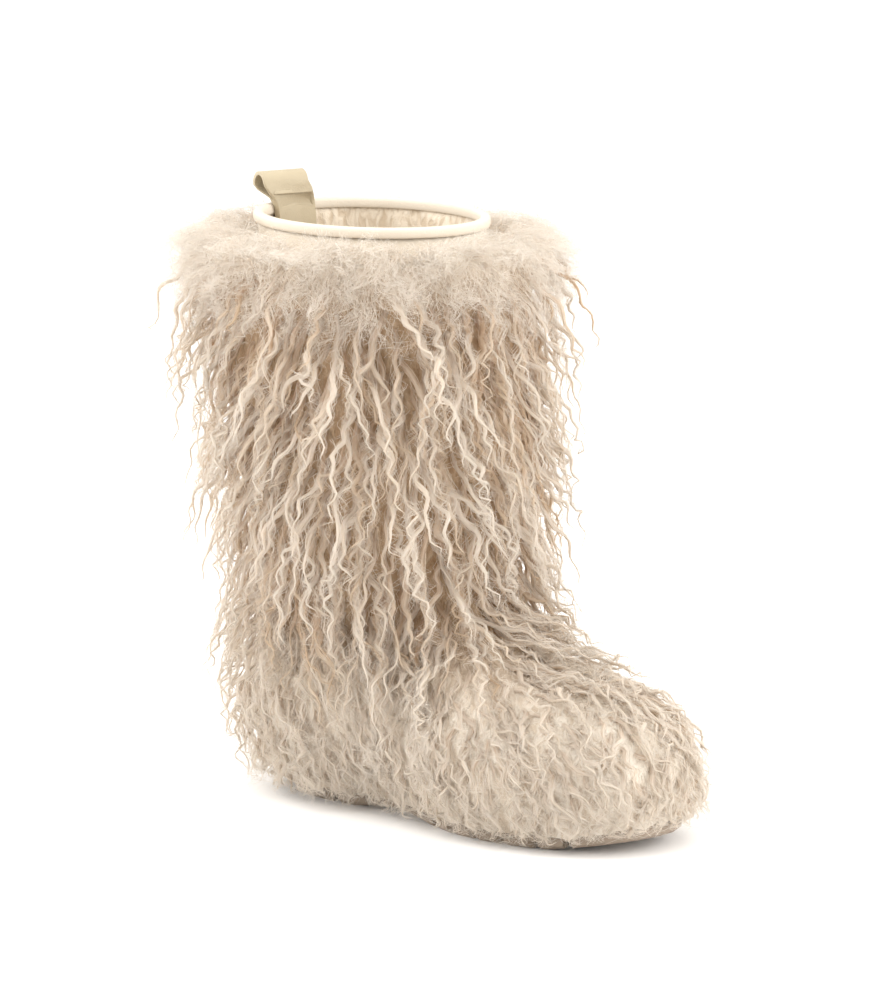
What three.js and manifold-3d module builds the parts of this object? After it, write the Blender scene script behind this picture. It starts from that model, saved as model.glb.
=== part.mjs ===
// Long-haired sheepskin snow boot for the right foot, standing empty on its sole.
// Millimetres. +X points to the toe, +Y to the inner side of the foot and +Z up.
// The origin is on the floor, under the middle of the heel.
import * as THREE from "three";
import Module from "manifold-3d";

const wasm = await Module();
wasm.setup();

// Last: sizes at the outside of the upper, levels counted up from the sole's top face
const HEEL_RADIUS = 34;
const TOE_X = 226;
const TOE_SWING = { by: 8, fromX: 90, fadeLevel: 60 }; // how the toe turns to the inner side
const TOE_BOX_X = 172; // where the toe box starts to round down
const TOE_ROUND = 2.3; // 2 is an ellipse, more is blunter
const COLLAR_LEVEL = 306;
const SHAFT_AXIS_X = 15;
const HIDE = 2.4; // wall of the upper
const GAP = 0.4; // between neighbouring curved pieces
const BLEND = 10; // fillet where the foot runs into the shaft
const WALL_FULLEST = 0.2; // share of the foot's height where its sides are widest
const FEATHER_TUCK = 0.04; // how far the sides draw in at the sole
const SIDES = [
  { name: "outer", sign: -1, waistX: 68, waist: 33, ballX: 134, ball: 48 },
  { name: "inner", sign: 1, waistX: 76, waist: 28, ballX: 152, ball: 43 },
];
const INSTEP = [
  { x: 78, top: 124 },
  { x: 90, top: 104 },
  { x: 104, top: 86 },
  { x: 122, top: 71 },
  { x: 146, top: 58 },
  { x: TOE_BOX_X, top: 51 },
];
const SHAFT = [
  { level: 0, back: -33, front: 58, half: 33 },
  { level: 26, back: -37, front: 66, half: 36 },
  { level: 60, back: -35, front: 76, half: 38 },
  { level: 95, back: -33, front: 84, half: 42 },
  { level: 130, back: -36, front: 87, half: 47 },
  { level: 190, back: -45, front: 86, half: 53 },
  { level: 250, back: -54, front: 84, half: 57 },
  { level: COLLAR_LEVEL, back: -61, front: 82, half: 59 },
];
const SPLIT_LEVEL = 100; // where the fleece of the foot ends and that of the shaft begins
const UPPER_LEVELS = [
  0, 5, 15, 26, 36, 43, 49, 56, 64, 74, 86, SPLIT_LEVEL, 116, 138, 170, 212, 262, COLLAR_LEVEL,
];

// Sole: heights of its top face and of its tread above the floor, along the foot
const SOLE_TOP = [
  { x: -40, z: 24 },
  { x: 0, z: 24 },
  { x: 60, z: 20.5 },
  { x: 130, z: 17 },
  { x: 170, z: 17.6 },
  { x: 232, z: 26 },
];
const TREAD = [
  { x: -40, z: 3 },
  { x: -25, z: 0 },
  { x: 30, z: 0 },
  { x: 62, z: 3.6 },
  { x: 96, z: 0 },
  { x: 170, z: 0 },
  { x: 232, z: 9 },
];
// The side of the sole from floor to top: bevelled edge, wall, groove and rim
const SOLE_SIDE = [
  { rise: 0, grow: 1 },
  { rise: 0.1, grow: 3.4 },
  { rise: 0.46, grow: 4 },
  { rise: 0.5, grow: 2.4 },
  { rise: 0.6, grow: 2.4 },
  { rise: 0.64, grow: 4.6 },
  { rise: 0.92, grow: 4.6 },
  { rise: 1, grow: 3.2 },
];
const GROOVE = { width: 5.5, depth: 4.5, tooth: 5, pitch: 24, reach: 72 };
const GROOVE_X = [-17, 17, 103, 121, 139, 157, 176, 195];
const RUNNEL = { from: 101, to: 197, y: 3 }; // groove along the middle of the forefoot
const INSOLE_THICK = 5;

// Collar: a folded strip over the top edge of the upper, and the loop inside its back
const BINDING = { cover: 1.5, overlap: 4.2, room: 2 };
const LOOP = {
  width: 28,
  strip: 2.1,
  buried: 15,
  neck: 4,
  flare: 4,
  rise: 20,
  holeHalf: 5.4,
  holeRound: 6.4,
  clearance: 2.7,
  lean: 5,
  aside: -6,
  twist: THREE.MathUtils.degToRad(15),
};

// Fleece: section of each covering, as level and distance out from the upper round the boot
const SHAFT_FLEECE = [
  { level: SPLIT_LEVEL + GAP, back: 34, side: 28, front: 22 },
  { level: 108, back: 42, side: 38, front: 31 },
  { level: 140, back: 46, side: 42, front: 36 },
  { level: 188, back: 46, side: 43, front: 38 },
  { level: 236, back: 46, side: 43, front: 38 },
  { level: 276, back: 45, side: 42, front: 38 },
  { level: 298, back: 38, side: 36, front: 33 },
  { level: 306, back: 22, side: 21, front: 20 },
  { level: 302, back: 8, side: 8, front: 8 },
];
const FOOT_FLEECE = [
  { level: -19, back: 16, side: 9, front: 8 },
  { level: -20, back: 32, side: 20, front: 13 },
  { level: 0, back: 40, side: 24, front: 15 },
  { level: 20, back: 44, side: 24, front: 14 },
  { level: 38, back: 43, side: 22, front: 13 },
  { level: 56, back: 40, side: 20, front: 14 },
  { level: 76, back: 37, side: 22, front: 16 },
  { level: SPLIT_LEVEL, back: 34, side: 26, front: 18 },
];
const FOOT_FLEECE_HEM = [
  { level: 5, out: GAP },
  { level: 2.5, out: 5.6 },
  { level: -3, out: 7 },
];
// Shares of the way round the boot where the fleece changes from one column to the next
const ROUND = { leaveBack: 0.08, reachSide: 0.28, leaveSide: 0.34, reachFront: 0.48 };
const RIB = 2.2; // ripple of the fleece between one lock and the next
const LOCK_SIDES = 4;
const LOCK_RINGS = 5;
const LOCK_FLAT = 0.7; // thickness of a lock over its width
const LOCK_WAVE = { by: 5, turn: 7 }; // sideways swing, and radians of it from root to tip
const LOCK_TAPER = 1.5; // more keeps a lock broad for longer
const LOCK_ROOT = 0.7; // depth of a lock's root in the fleece, and its stand off it, over its radius
const LOCK_STAND = 0.8;
const LOCK_CLEAR = 0.45; // share of its length over which a lock leaves the fleece
const LOCK_SPREAD = { around: 0.3, length: 0.3, level: 8 }; // how far locks of a row differ
const LOCK_ROOM = 0.7; // kept free round a lock of the shaft where it hangs over the foot
const PATH_STEP = 1.5;
const TIP_ROOM = 4; // room kept past a lock's tip, as a multiple of the room round it
const FOOT_REST = 24; // how far off the foot the locks of the shaft come to rest
const HEM_HEIGHT = 3; // lowest lock tip above the floor
const SHAFT_LOCKS = [
  { root: 294, length: 74, count: 11, radius: 11, shift: 0, lift: 3 },
  { root: 242, length: 78, count: 11, radius: 12, shift: 0.5, lift: 4 },
  { root: 190, length: 78, count: 11, radius: 12, shift: 0, lift: 4 },
  { root: 142, length: 70, count: 12, radius: 11, shift: 0.5, lift: 2 },
];
const FOOT_LOCKS = [
  { root: 74, length: 56, count: 7, radius: 9, shift: 0.25, lift: 1 },
  { root: 50, length: 52, count: 9, radius: 9, shift: 0.5, lift: 1 },
  { root: 30, length: 44, count: 11, radius: 8, shift: 0, lift: 1 },
];

const NORMAL_STEP = 3; // levels to either side when finding the direction square to the surface
const STATIONS = 14; // along one side of a section, back to front
const SOLE_STATIONS = 18;

// Smooth curve through the rows of a table, with no overshoot between them
function through(rows, key, value) {
  const at = rows.map((row) => row[key]);
  const to = rows.map((row) => row[value]);
  const rate = at.slice(1).map((x, i) => (to[i + 1] - to[i]) / (x - at[i]));
  const slope = to.map((_, i) => {
    const before = rate[i - 1] ?? rate[i];
    const after = rate[i] ?? rate[i - 1];
    return before * after <= 0 ? 0 : (2 * before * after) / (before + after);
  });
  return (x) => {
    const held = THREE.MathUtils.clamp(x, at[0], at.at(-1));
    let i = 0;
    while (i < at.length - 2 && held > at[i + 1]) i += 1;
    const span = at[i + 1] - at[i];
    const t = (held - at[i]) / span;
    const rest = 1 - t;
    return (
      to[i] * rest * rest * (1 + 2 * t) +
      to[i + 1] * t * t * (3 - 2 * t) +
      span * t * rest * (slope[i] * rest - slope[i + 1] * t)
    );
  };
}

const soleTop = through(SOLE_TOP, "x", "z");
const tread = through(TREAD, "x", "z");
const instepTop = through(INSTEP, "x", "top");
const shaftBack = through(SHAFT, "level", "back");
const shaftFront = through(SHAFT, "level", "front");
const shaftHalf = through(SHAFT, "level", "half");
const smooth = (x, from, to) => THREE.MathUtils.smoothstep(x, from, to);
const roundEnd = (t, power) => Math.max(0, 1 - Math.max(0, t) ** power) ** (1 / power);
// A repeatable number from 0 to 1 for item i
const scatter = (i) => THREE.MathUtils.euclideanModulo(Math.sin(i * 12.9898 + 4.1) * 43758.5453, 1);

// Half width of the foot seen from above
function planHalf(x, side, grow) {
  const heel = HEEL_RADIUS + grow;
  if (x <= 0) return Math.sqrt(Math.max(0, heel * heel - x * x));
  if (x <= side.waistX) return heel + (side.waist + grow - heel) * smooth(x, 0, side.waistX);
  if (x <= side.ballX) {
    return side.waist + grow + (side.ball - side.waist) * smooth(x, side.waistX, side.ballX);
  }
  const t = (x - side.ballX) / (TOE_X + grow - side.ballX);
  return (side.ball + grow) * roundEnd(t, TOE_ROUND);
}

// Level of the top of the foot along its ridge
function footTop(x, grow) {
  if (x <= TOE_BOX_X) return instepTop(x) + grow;
  const t = (x - TOE_BOX_X) / (TOE_X + grow - TOE_BOX_X);
  return (INSTEP.at(-1).top + grow) * roundEnd(t, TOE_ROUND);
}

// Half width of the foot at a level: full low down, closing to the ridge
function footHalf(x, level, side, grow) {
  const share = Math.max(0, level) / footTop(x, grow);
  if (share >= 1) return 0;
  const below = (WALL_FULLEST - share) / WALL_FULLEST;
  const above = (share - WALL_FULLEST) / (1 - WALL_FULLEST);
  const fullness = below > 0 ? 1 - FEATHER_TUCK * below * below : roundEnd(above, TOE_ROUND);
  return planHalf(x, side, grow) * fullness;
}

function shaftHalfAt(x, level, grow) {
  const back = shaftBack(level) - grow;
  const front = shaftFront(level) + grow;
  const t = (2 * x - back - front) / (front - back);
  return (shaftHalf(level) + grow) * Math.sqrt(Math.max(0, 1 - t * t));
}

// The larger of two widths, with a fillet that fades out where either ends
function filleted(a, b) {
  const reach = Math.min(BLEND, a, b);
  const near = Math.max(0, reach - Math.abs(a - b));
  return Math.max(a, b) + (reach > 0 ? (near * near) / (4 * reach) : 0);
}

// Foremost point of the boot at a level
function frontAt(level, grow, withFoot) {
  const shaft = shaftFront(level) + grow;
  if (!withFoot || footTop(INSTEP[0].x, grow) <= level) return shaft;
  let near = INSTEP[0].x;
  let far = TOE_X + grow;
  for (let i = 0; i < 40; i += 1) {
    const middle = (near + far) / 2;
    if (footTop(middle, grow) > level) near = middle;
    else far = middle;
  }
  return Math.max(shaft, near);
}

// Height above the floor: the foot follows the sole's top, the shaft stands level
function heightAt(x, level) {
  const heel = soleTop(0);
  if (level < 0) return soleTop(x) * (1 + level / heel);
  return level + heel + (soleTop(x) - heel) * (1 - smooth(level, 0, SPLIT_LEVEL));
}

// Point of the boot's surface, grown outwards. around runs from 0 at the back, along the outer side
// to 0.5 at the front, and along the inner side to 1.
function surfacePoint(around, level, grow, withFoot = true) {
  const turn = THREE.MathUtils.euclideanModulo(around, 1);
  const side = turn <= 0.5 ? SIDES[0] : SIDES[1];
  const share = turn <= 0.5 ? 2 * turn : 2 - 2 * turn;
  const back = shaftBack(level) - grow;
  const front = frontAt(level, grow, withFoot);
  const x = back + ((front - back) * (1 - Math.cos(Math.PI * share))) / 2;
  const ends = share < 1e-6 || share > 1 - 1e-6;
  const foot = ends || !withFoot ? 0 : footHalf(x, level, side, grow);
  const half = ends ? 0 : filleted(foot, shaftHalfAt(x, level, grow));
  const swing = smooth(x, TOE_SWING.fromX, TOE_X) * (1 - smooth(level, TOE_SWING.fadeLevel, SPLIT_LEVEL));
  return new THREE.Vector3(x, TOE_SWING.by * swing + side.sign * half, heightAt(x, level));
}

// Point moved off the boot's surface, square to it. A rim moves only sideways.
function offsetPoint(around, level, distance) {
  const turn = 0.25 / STATIONS;
  const rim = level <= 0 || level >= COLLAR_LEVEL;
  const along = surfacePoint(around + turn, level, 0).sub(surfacePoint(around - turn, level, 0));
  const low = surfacePoint(around, Math.max(0, level - NORMAL_STEP), 0);
  const rise = surfacePoint(around, Math.min(COLLAR_LEVEL, level + NORMAL_STEP), 0).sub(low);
  const square = along.cross(rise);
  if (rim) square.z = 0;
  return surfacePoint(around, level, 0).addScaledVector(square.normalize(), distance);
}

function solidFrom(positions, triangles) {
  return new wasm.Manifold(
    new wasm.Mesh({
      numProp: 3,
      vertProperties: new Float32Array(positions.flatMap((p) => [p.x, p.y, p.z])),
      triVerts: new Uint32Array(triangles.flat()),
    }),
  );
}

// The outer body of a solid, with any void shut in between its locks filled
function filled(solid) {
  return solid.decompose().reduce((most, body) => (body.volume() > most.volume() ? body : most));
}

function geometryOf(solid) {
  const mesh = solid.getMesh();
  const geometry = new THREE.BufferGeometry();
  geometry.setAttribute("position", new THREE.BufferAttribute(new Float32Array(mesh.vertProperties), 3));
  geometry.setIndex(new THREE.BufferAttribute(new Uint32Array(mesh.triVerts), 1));
  geometry.computeVertexNormals();
  return geometry;
}

// A three.js geometry as a solid, with its shared corners merged
function solidOf(geometry) {
  const source = geometry.index ? geometry.toNonIndexed() : geometry;
  const place = source.getAttribute("position");
  const index = new Map();
  const corners = [];
  const positions = [];
  for (let i = 0; i < place.count; i += 1) {
    const p = new THREE.Vector3().fromBufferAttribute(place, i);
    const key = p.toArray().map((c) => Math.round(c * 1e4)).join();
    if (!index.has(key)) {
      index.set(key, positions.length);
      positions.push(p);
    }
    corners.push(index.get(key));
  }
  const triangles = [];
  for (let i = 0; i < corners.length; i += 3) triangles.push(corners.slice(i, i + 3));
  const whole = triangles.filter(([a, b, c]) => a !== b && b !== c && a !== c);
  return solidFrom(positions, whole);
}

const quad = (a, b, c, d) => [
  [a, b, c],
  [a, c, d],
];

// A closed band: the same closed section at every station of a ring. The section runs up the outside
// and down the inside, and both are split along the same diagonals so that neighbours lie parallel.
function bandSolid(stations, sectionAt) {
  const sections = Array.from({ length: stations }, (_, j) => sectionAt(j));
  const size = sections[0].length;
  const triangles = [];
  for (let j = 0; j < stations; j += 1) {
    const here = j * size;
    const next = ((j + 1) % stations) * size;
    for (let k = 0; k < size; k += 1) {
      const up = (k + 1) % size;
      const corners = [here + k, next + k, next + up, here + up];
      if (sections[j][up].z < sections[j][k].z) corners.push(corners.shift());
      triangles.push(...quad(...corners));
    }
  }
  return solidFrom(sections.flat(), triangles);
}

// A stack of rings from the bottom up, closed across its ends from one side to the other
function stackSolid(rings) {
  const size = rings[0].length;
  const triangles = [];
  for (let i = 0; i + 1 < rings.length; i += 1) {
    for (let j = 0; j < size; j += 1) {
      const next = (j + 1) % size;
      const low = i * size;
      const high = low + size;
      triangles.push(...quad(low + j, low + next, high + next, high + j));
    }
  }
  const top = (rings.length - 1) * size;
  for (let j = 0; j < size / 2; j += 1) {
    const across = (size - j) % size;
    const strip = quad(j, j + 1, across - 1 < 0 ? size - 1 : across - 1, across);
    for (const [a, b, c] of strip) {
      if (new Set([a, b, c]).size < 3) continue;
      triangles.push([top + a, top + b, top + c], [a, c, b]);
    }
  }
  return solidFrom(rings.flat(), triangles);
}

const ring = (stations, pointAt) =>
  Array.from({ length: 2 * stations }, (_, j) => pointAt(j / (2 * stations)));

// Upper: one hollow wall of hide from the sole to the collar
function upperSolid() {
  return bandSolid(2 * STATIONS, (j) => {
    const around = j / (2 * STATIONS);
    const outside = UPPER_LEVELS.map((level) => surfacePoint(around, level, 0));
    const inside = UPPER_LEVELS.map((level) => offsetPoint(around, level, -HIDE));
    return [...outside, ...inside.reverse()];
  });
}

// A zigzag channel across the sole, cut up into the tread
function channelSolid(x, top) {
  const points = [];
  const teeth = Math.ceil((2 * GROOVE.reach) / GROOVE.pitch);
  for (let i = 0; i <= 2 * teeth; i += 1) {
    const y = -GROOVE.reach + (i * GROOVE.pitch) / 2;
    points.push(new THREE.Vector2(x + (i % 2 ? GROOVE.tooth : 0), y));
  }
  const shifted = points.map((p) => new THREE.Vector2(p.x - GROOVE.width, p.y));
  return prism([...points, ...shifted.reverse()], -GROOVE.depth, top);
}

function prism(outline, from, to) {
  const geometry = new THREE.ExtrudeGeometry(new THREE.Shape(outline), {
    depth: to - from,
    bevelEnabled: false,
  });
  return solidOf(geometry.translate(0, 0, from));
}

// Outsole: bevelled, grooved wall around the foot's outline, with a tread cut into lugs
function outsoleSolid() {
  const rings = SOLE_SIDE.map(({ rise, grow }) =>
    ring(SOLE_STATIONS, (around) => {
      const p = surfacePoint(around, 0, grow);
      return p.setZ(tread(p.x) + rise * (soleTop(p.x) - GAP - tread(p.x)));
    }),
  );
  let sole = stackSolid(rings);
  for (const x of GROOVE_X) sole = sole.subtract(channelSolid(x, tread(x) + GROOVE.depth));
  const side = GROOVE.width / 2;
  const runnel = [
    new THREE.Vector2(RUNNEL.from, RUNNEL.y - side),
    new THREE.Vector2(RUNNEL.to, RUNNEL.y - side),
    new THREE.Vector2(RUNNEL.to, RUNNEL.y + side),
    new THREE.Vector2(RUNNEL.from, RUNNEL.y + side),
  ];
  return sole.subtract(prism(runnel, -GROOVE.depth, GROOVE.depth));
}

function insoleSolid() {
  return stackSolid(
    [0, INSOLE_THICK].map((level) =>
      ring(STATIONS, (around) => offsetPoint(around, level, -HIDE - GAP)),
    ),
  );
}

// Binding: a folded strip around the top edge of the upper
function bindingSolid() {
  const { cover, overlap } = BINDING;
  const outer = GAP + cover;
  const inner = -HIDE - GAP - cover;
  const middle = (outer + inner) / 2;
  const crown = GAP + cover;
  const section = [
    { out: GAP, up: -overlap },
    { out: outer, up: -overlap },
    { out: outer, up: crown / 2 },
    { out: (outer + middle) / 2, up: crown },
    { out: (inner + middle) / 2, up: crown },
    { out: inner, up: crown / 2 },
    { out: inner, up: -overlap },
    { out: -HIDE - GAP, up: -overlap },
    { out: -HIDE - GAP, up: GAP },
    { out: GAP, up: GAP },
  ];
  const edge = heightAt(0, COLLAR_LEVEL);
  return bandSolid(2 * STATIONS, (j) =>
    section.map(({ out, up }) => {
      const level = COLLAR_LEVEL + Math.min(0, up);
      return offsetPoint(j / (2 * STATIONS), level, out).setZ(edge + up);
    }),
  );
}

// Pull loop: a strip doubled over a teardrop eye, its ends held inside the back of the collar
function pullLoopSolid() {
  const { strip, buried, neck, flare, rise, holeHalf, holeRound } = LOOP;
  const eye = rise - strip - holeRound;
  const half = holeHalf + strip;
  const outline = new THREE.Shape();
  outline.moveTo(-strip, -buried);
  outline.lineTo(strip, -buried);
  outline.lineTo(strip, neck - strip);
  outline.bezierCurveTo(strip, neck + flare, half, neck + strip, half, eye);
  outline.absellipse(0, eye, half, holeRound + strip, 0, Math.PI, false, 0);
  outline.bezierCurveTo(-half, neck + strip, -strip, neck + flare, -strip, neck - strip);
  const hole = new THREE.Path();
  hole.moveTo(0, neck);
  hole.bezierCurveTo(0, neck + flare, holeHalf, neck + flare, holeHalf, eye);
  hole.absellipse(0, eye, holeHalf, holeRound, 0, Math.PI, false, 0);
  hole.bezierCurveTo(-holeHalf, neck + flare, 0, neck + flare, 0, neck);
  outline.holes.push(hole);
  const geometry = new THREE.ExtrudeGeometry(outline, {
    depth: LOOP.width,
    steps: 2,
    curveSegments: 5,
    bevelEnabled: false,
  });
  const edge = heightAt(0, COLLAR_LEVEL);
  const place = geometry.getAttribute("position");
  const p = new THREE.Vector3();
  for (let i = 0; i < place.count; i += 1) {
    p.fromBufferAttribute(place, i);
    const turn = LOOP.twist * smooth(p.y, neck, eye);
    const across = LOOP.width / 2 - p.z;
    const x = p.x * Math.cos(turn) + across * Math.sin(turn);
    const y = across * Math.cos(turn) - p.x * Math.sin(turn);
    const wall = surfacePoint(0, COLLAR_LEVEL + Math.min(0, p.y), -HIDE - GAP - BINDING.cover);
    const lean = LOOP.lean * smooth(p.y, neck, eye);
    const aside = LOOP.aside * smooth(p.y, neck, eye);
    place.setXYZ(i, wall.x + strip + LOOP.clearance - lean + x, aside + y, edge + p.y);
  }
  return solidOf(geometry);
}

// One lock: a flattened tapering tube along its path, pointed at the tip
function lockSolid(path, radius, grow) {
  const points = [];
  for (let i = 0; i < LOCK_RINGS; i += 1) {
    const t = i / LOCK_RINGS;
    const middle = path(t);
    const along = path(t + 0.05).sub(path(Math.max(0, t - 0.05))).normalize();
    const outward = new THREE.Vector3(middle.x - SHAFT_AXIS_X, middle.y, 0).normalize();
    const across = new THREE.Vector3().crossVectors(along, outward).normalize();
    const deep = new THREE.Vector3().crossVectors(across, along);
    const size = grow + radius * Math.sqrt(Math.min(1, (1 - t) * LOCK_TAPER));
    for (let k = 0; k < LOCK_SIDES; k += 1) {
      const turn = (2 * Math.PI * k) / LOCK_SIDES;
      points.push(
        middle
          .clone()
          .addScaledVector(across, size * Math.cos(turn))
          .addScaledVector(deep, size * LOCK_FLAT * Math.sin(turn)),
      );
    }
  }
  const tip = points.length;
  const point = path(1);
  const end = point.clone().sub(path(0.9)).normalize();
  points.push(point.addScaledVector(end, TIP_ROOM * grow));
  const triangles = [];
  for (let i = 0; i + 1 < LOCK_RINGS; i += 1) {
    for (let k = 0; k < LOCK_SIDES; k += 1) {
      const next = (k + 1) % LOCK_SIDES;
      const a = i * LOCK_SIDES;
      triangles.push(...quad(a + k, a + next, a + LOCK_SIDES + next, a + LOCK_SIDES + k));
    }
  }
  const last = (LOCK_RINGS - 1) * LOCK_SIDES;
  for (let k = 0; k < LOCK_SIDES; k += 1) triangles.push([last + k, last + ((k + 1) % LOCK_SIDES), tip]);
  for (let k = 1; k + 1 < LOCK_SIDES; k += 1) triangles.push([0, k + 1, k]);
  const made = solidFrom(points, triangles);
  return made.volume() > 0 ? made : solidFrom(points, triangles.map(([a, b, c]) => [a, c, b]));
}

// The path of a lock: from its root in the fleece, down over the fleece's surface, with a wave
function lockPath(row, i, outAt, withFoot) {
  const seed = row.root * 7 + i;
  const around = (i + row.shift + LOCK_SPREAD.around * (scatter(seed) - 0.5)) / row.count;
  const length = row.length * (1 + LOCK_SPREAD.length * (scatter(seed + 0.5) - 0.5));
  const steps = [];
  let level = row.root + LOCK_SPREAD.level * (scatter(seed + 0.7) - 0.5);
  let before = null;
  let run = 0;
  while (run < length) {
    const here = surfacePoint(around, level, outAt(level, around), withFoot);
    const side = here.y < 0 ? SIDES[0] : SIDES[1];
    const onFoot = !withFoot && footHalf(here.x, level, side, FOOT_REST) > Math.abs(here.y);
    if (onFoot || here.z < HEM_HEIGHT + row.radius * LOCK_FLAT) break;
    if (before) run += here.distanceTo(before);
    steps.push({ level, run });
    before = here;
    level -= PATH_STEP;
  }
  const reach = steps.at(-1).run;
  const root = surfacePoint(around, row.root, outAt(row.root, around), withFoot);
  const girth = 2 * Math.PI * Math.hypot(root.x, root.y);
  return (t) => {
    const wanted = Math.max(0, t) * reach;
    const step = steps.find(({ run: at }) => at >= wanted) ?? steps.at(-1);
    const phase = 2 * Math.PI * scatter(seed + 0.9);
    const wave = (LOCK_WAVE.by * Math.sin(LOCK_WAVE.turn * t + phase) * t) / girth;
    const stand = row.radius * ((LOCK_ROOT + LOCK_STAND) * smooth(t, 0, LOCK_CLEAR) - LOCK_ROOT);
    const out = outAt(step.level, around) + stand * LOCK_FLAT + row.lift * t;
    return surfacePoint(around + wave, step.level, out, withFoot);
  };
}

function lockSolids(rows, outAt, withFoot, grow) {
  return rows.flatMap((row) =>
    Array.from({ length: row.count }, (_, i) =>
      lockSolid(lockPath(row, i, outAt, withFoot), row.radius, grow),
    ),
  );
}

const rippled = (j, k) => RIB * ((j + k) % 2 ? -1 : 1);

// A value that runs from the back of the boot, along its sides, to its front
function roundBoot({ back, side, front }, around) {
  const turn = THREE.MathUtils.euclideanModulo(around, 1);
  const share = Math.min(turn, 1 - turn);
  const toSide = smooth(share, ROUND.leaveBack, ROUND.reachSide);
  const toFront = smooth(share, ROUND.leaveSide, ROUND.reachFront);
  return back + (side - back) * toSide + (front - side) * toFront;
}

// Depth of a fleece at a level and a place round the boot
function fleeceDepth(rows) {
  const back = through(rows, "level", "back");
  const side = through(rows, "level", "side");
  const front = through(rows, "level", "front");
  return (level, around) =>
    roundBoot({ back: back(level), side: side(level), front: front(level) }, around);
}

const shaftOut = fleeceDepth(SHAFT_FLEECE.slice(0, -2));
const footOut = fleeceDepth(FOOT_FLEECE.slice(1));

// Fleece of the shaft: a deep ribbed ruff with rows of locks fused to it
function shaftFleeceSolid() {
  const backing = UPPER_LEVELS.filter((level) => level > SPLIT_LEVEL && level < COLLAR_LEVEL);
  const band = bandSolid(2 * STATIONS, (j) => {
    const around = j / (2 * STATIONS);
    const outside = SHAFT_FLEECE.map((row, k) =>
      surfacePoint(around, row.level, roundBoot(row, around) + rippled(j, k), false),
    );
    const levels = [SPLIT_LEVEL + GAP, ...backing, COLLAR_LEVEL - BINDING.overlap - BINDING.room];
    const inside = levels.map((level) => offsetPoint(around, level, GAP));
    return [...outside, ...inside.reverse()];
  });
  return filled(lockSolids(SHAFT_LOCKS, shaftOut, false, 0).reduce((all, lock) => all.add(lock), band));
}

// Fleece of the foot: hangs past the sole's edge, and leaves room for the locks of the shaft
function footFleeceSolid() {
  const backing = UPPER_LEVELS.filter((level) => level > INSOLE_THICK && level <= SPLIT_LEVEL);
  const band = bandSolid(2 * STATIONS, (j) => {
    const around = j / (2 * STATIONS);
    const outside = FOOT_FLEECE.map((row, k) =>
      surfacePoint(around, row.level, roundBoot(row, around) + (k ? rippled(j, k) : 0)),
    );
    const inside = backing.map((level) => offsetPoint(around, level, GAP));
    const hem = FOOT_FLEECE_HEM.map(({ level, out }) =>
      out > GAP ? surfacePoint(around, level, out) : offsetPoint(around, level, out),
    );
    return [...outside, ...inside.reverse(), ...hem];
  });
  const whole = lockSolids(FOOT_LOCKS, footOut, true, 0).reduce((all, lock) => all.add(lock), band);
  const low = SHAFT_LOCKS.slice(-2);
  const cut = lockSolids(low, shaftOut, false, LOCK_ROOM).reduce((all, lock) => all.subtract(lock), whole);
  return filled(cut);
}

const FINISH = {
  rubber: new THREE.MeshStandardMaterial({ color: "#c9b79e", roughness: 0.75, metalness: 0 }),
  hide: new THREE.MeshStandardMaterial({ color: "#dccdb6", roughness: 0.9, metalness: 0 }),
  felt: new THREE.MeshStandardMaterial({ color: "#e2d6c2", roughness: 1, metalness: 0 }),
  leather: new THREE.MeshStandardMaterial({ color: "#e3d5be", roughness: 0.6, metalness: 0 }),
  strap: new THREE.MeshStandardMaterial({ color: "#cdb893", roughness: 0.55, metalness: 0 }),
  fleece: new THREE.MeshStandardMaterial({ color: "#e0cdb6", roughness: 1, metalness: 0 }),
};

const boot = new THREE.Group();

function addPiece(name, solid, material) {
  const mesh = new THREE.Mesh(geometryOf(solid), material);
  mesh.name = name;
  boot.add(mesh);
}

addPiece("outsole", outsoleSolid(), FINISH.rubber);
addPiece("insole", insoleSolid(), FINISH.felt);
addPiece("upper", upperSolid(), FINISH.hide);
addPiece("collar_binding", bindingSolid(), FINISH.leather);
addPiece("pull_loop", pullLoopSolid(), FINISH.strap);
addPiece("fleece_shaft", shaftFleeceSolid(), FINISH.fleece);
addPiece("fleece_foot", footFleeceSolid(), FINISH.fleece);

export default boot;
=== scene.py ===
"""Looks of a fur snow boot: long curly fleece, bound collar, lining, pull loop, insole and rubber sole."""

import logging
import math
from dataclasses import dataclass, field
from enum import Enum

import bmesh
import bpy
import numpy as np
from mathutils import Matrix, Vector, noise
from mathutils.bvhtree import BVHTree


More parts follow.
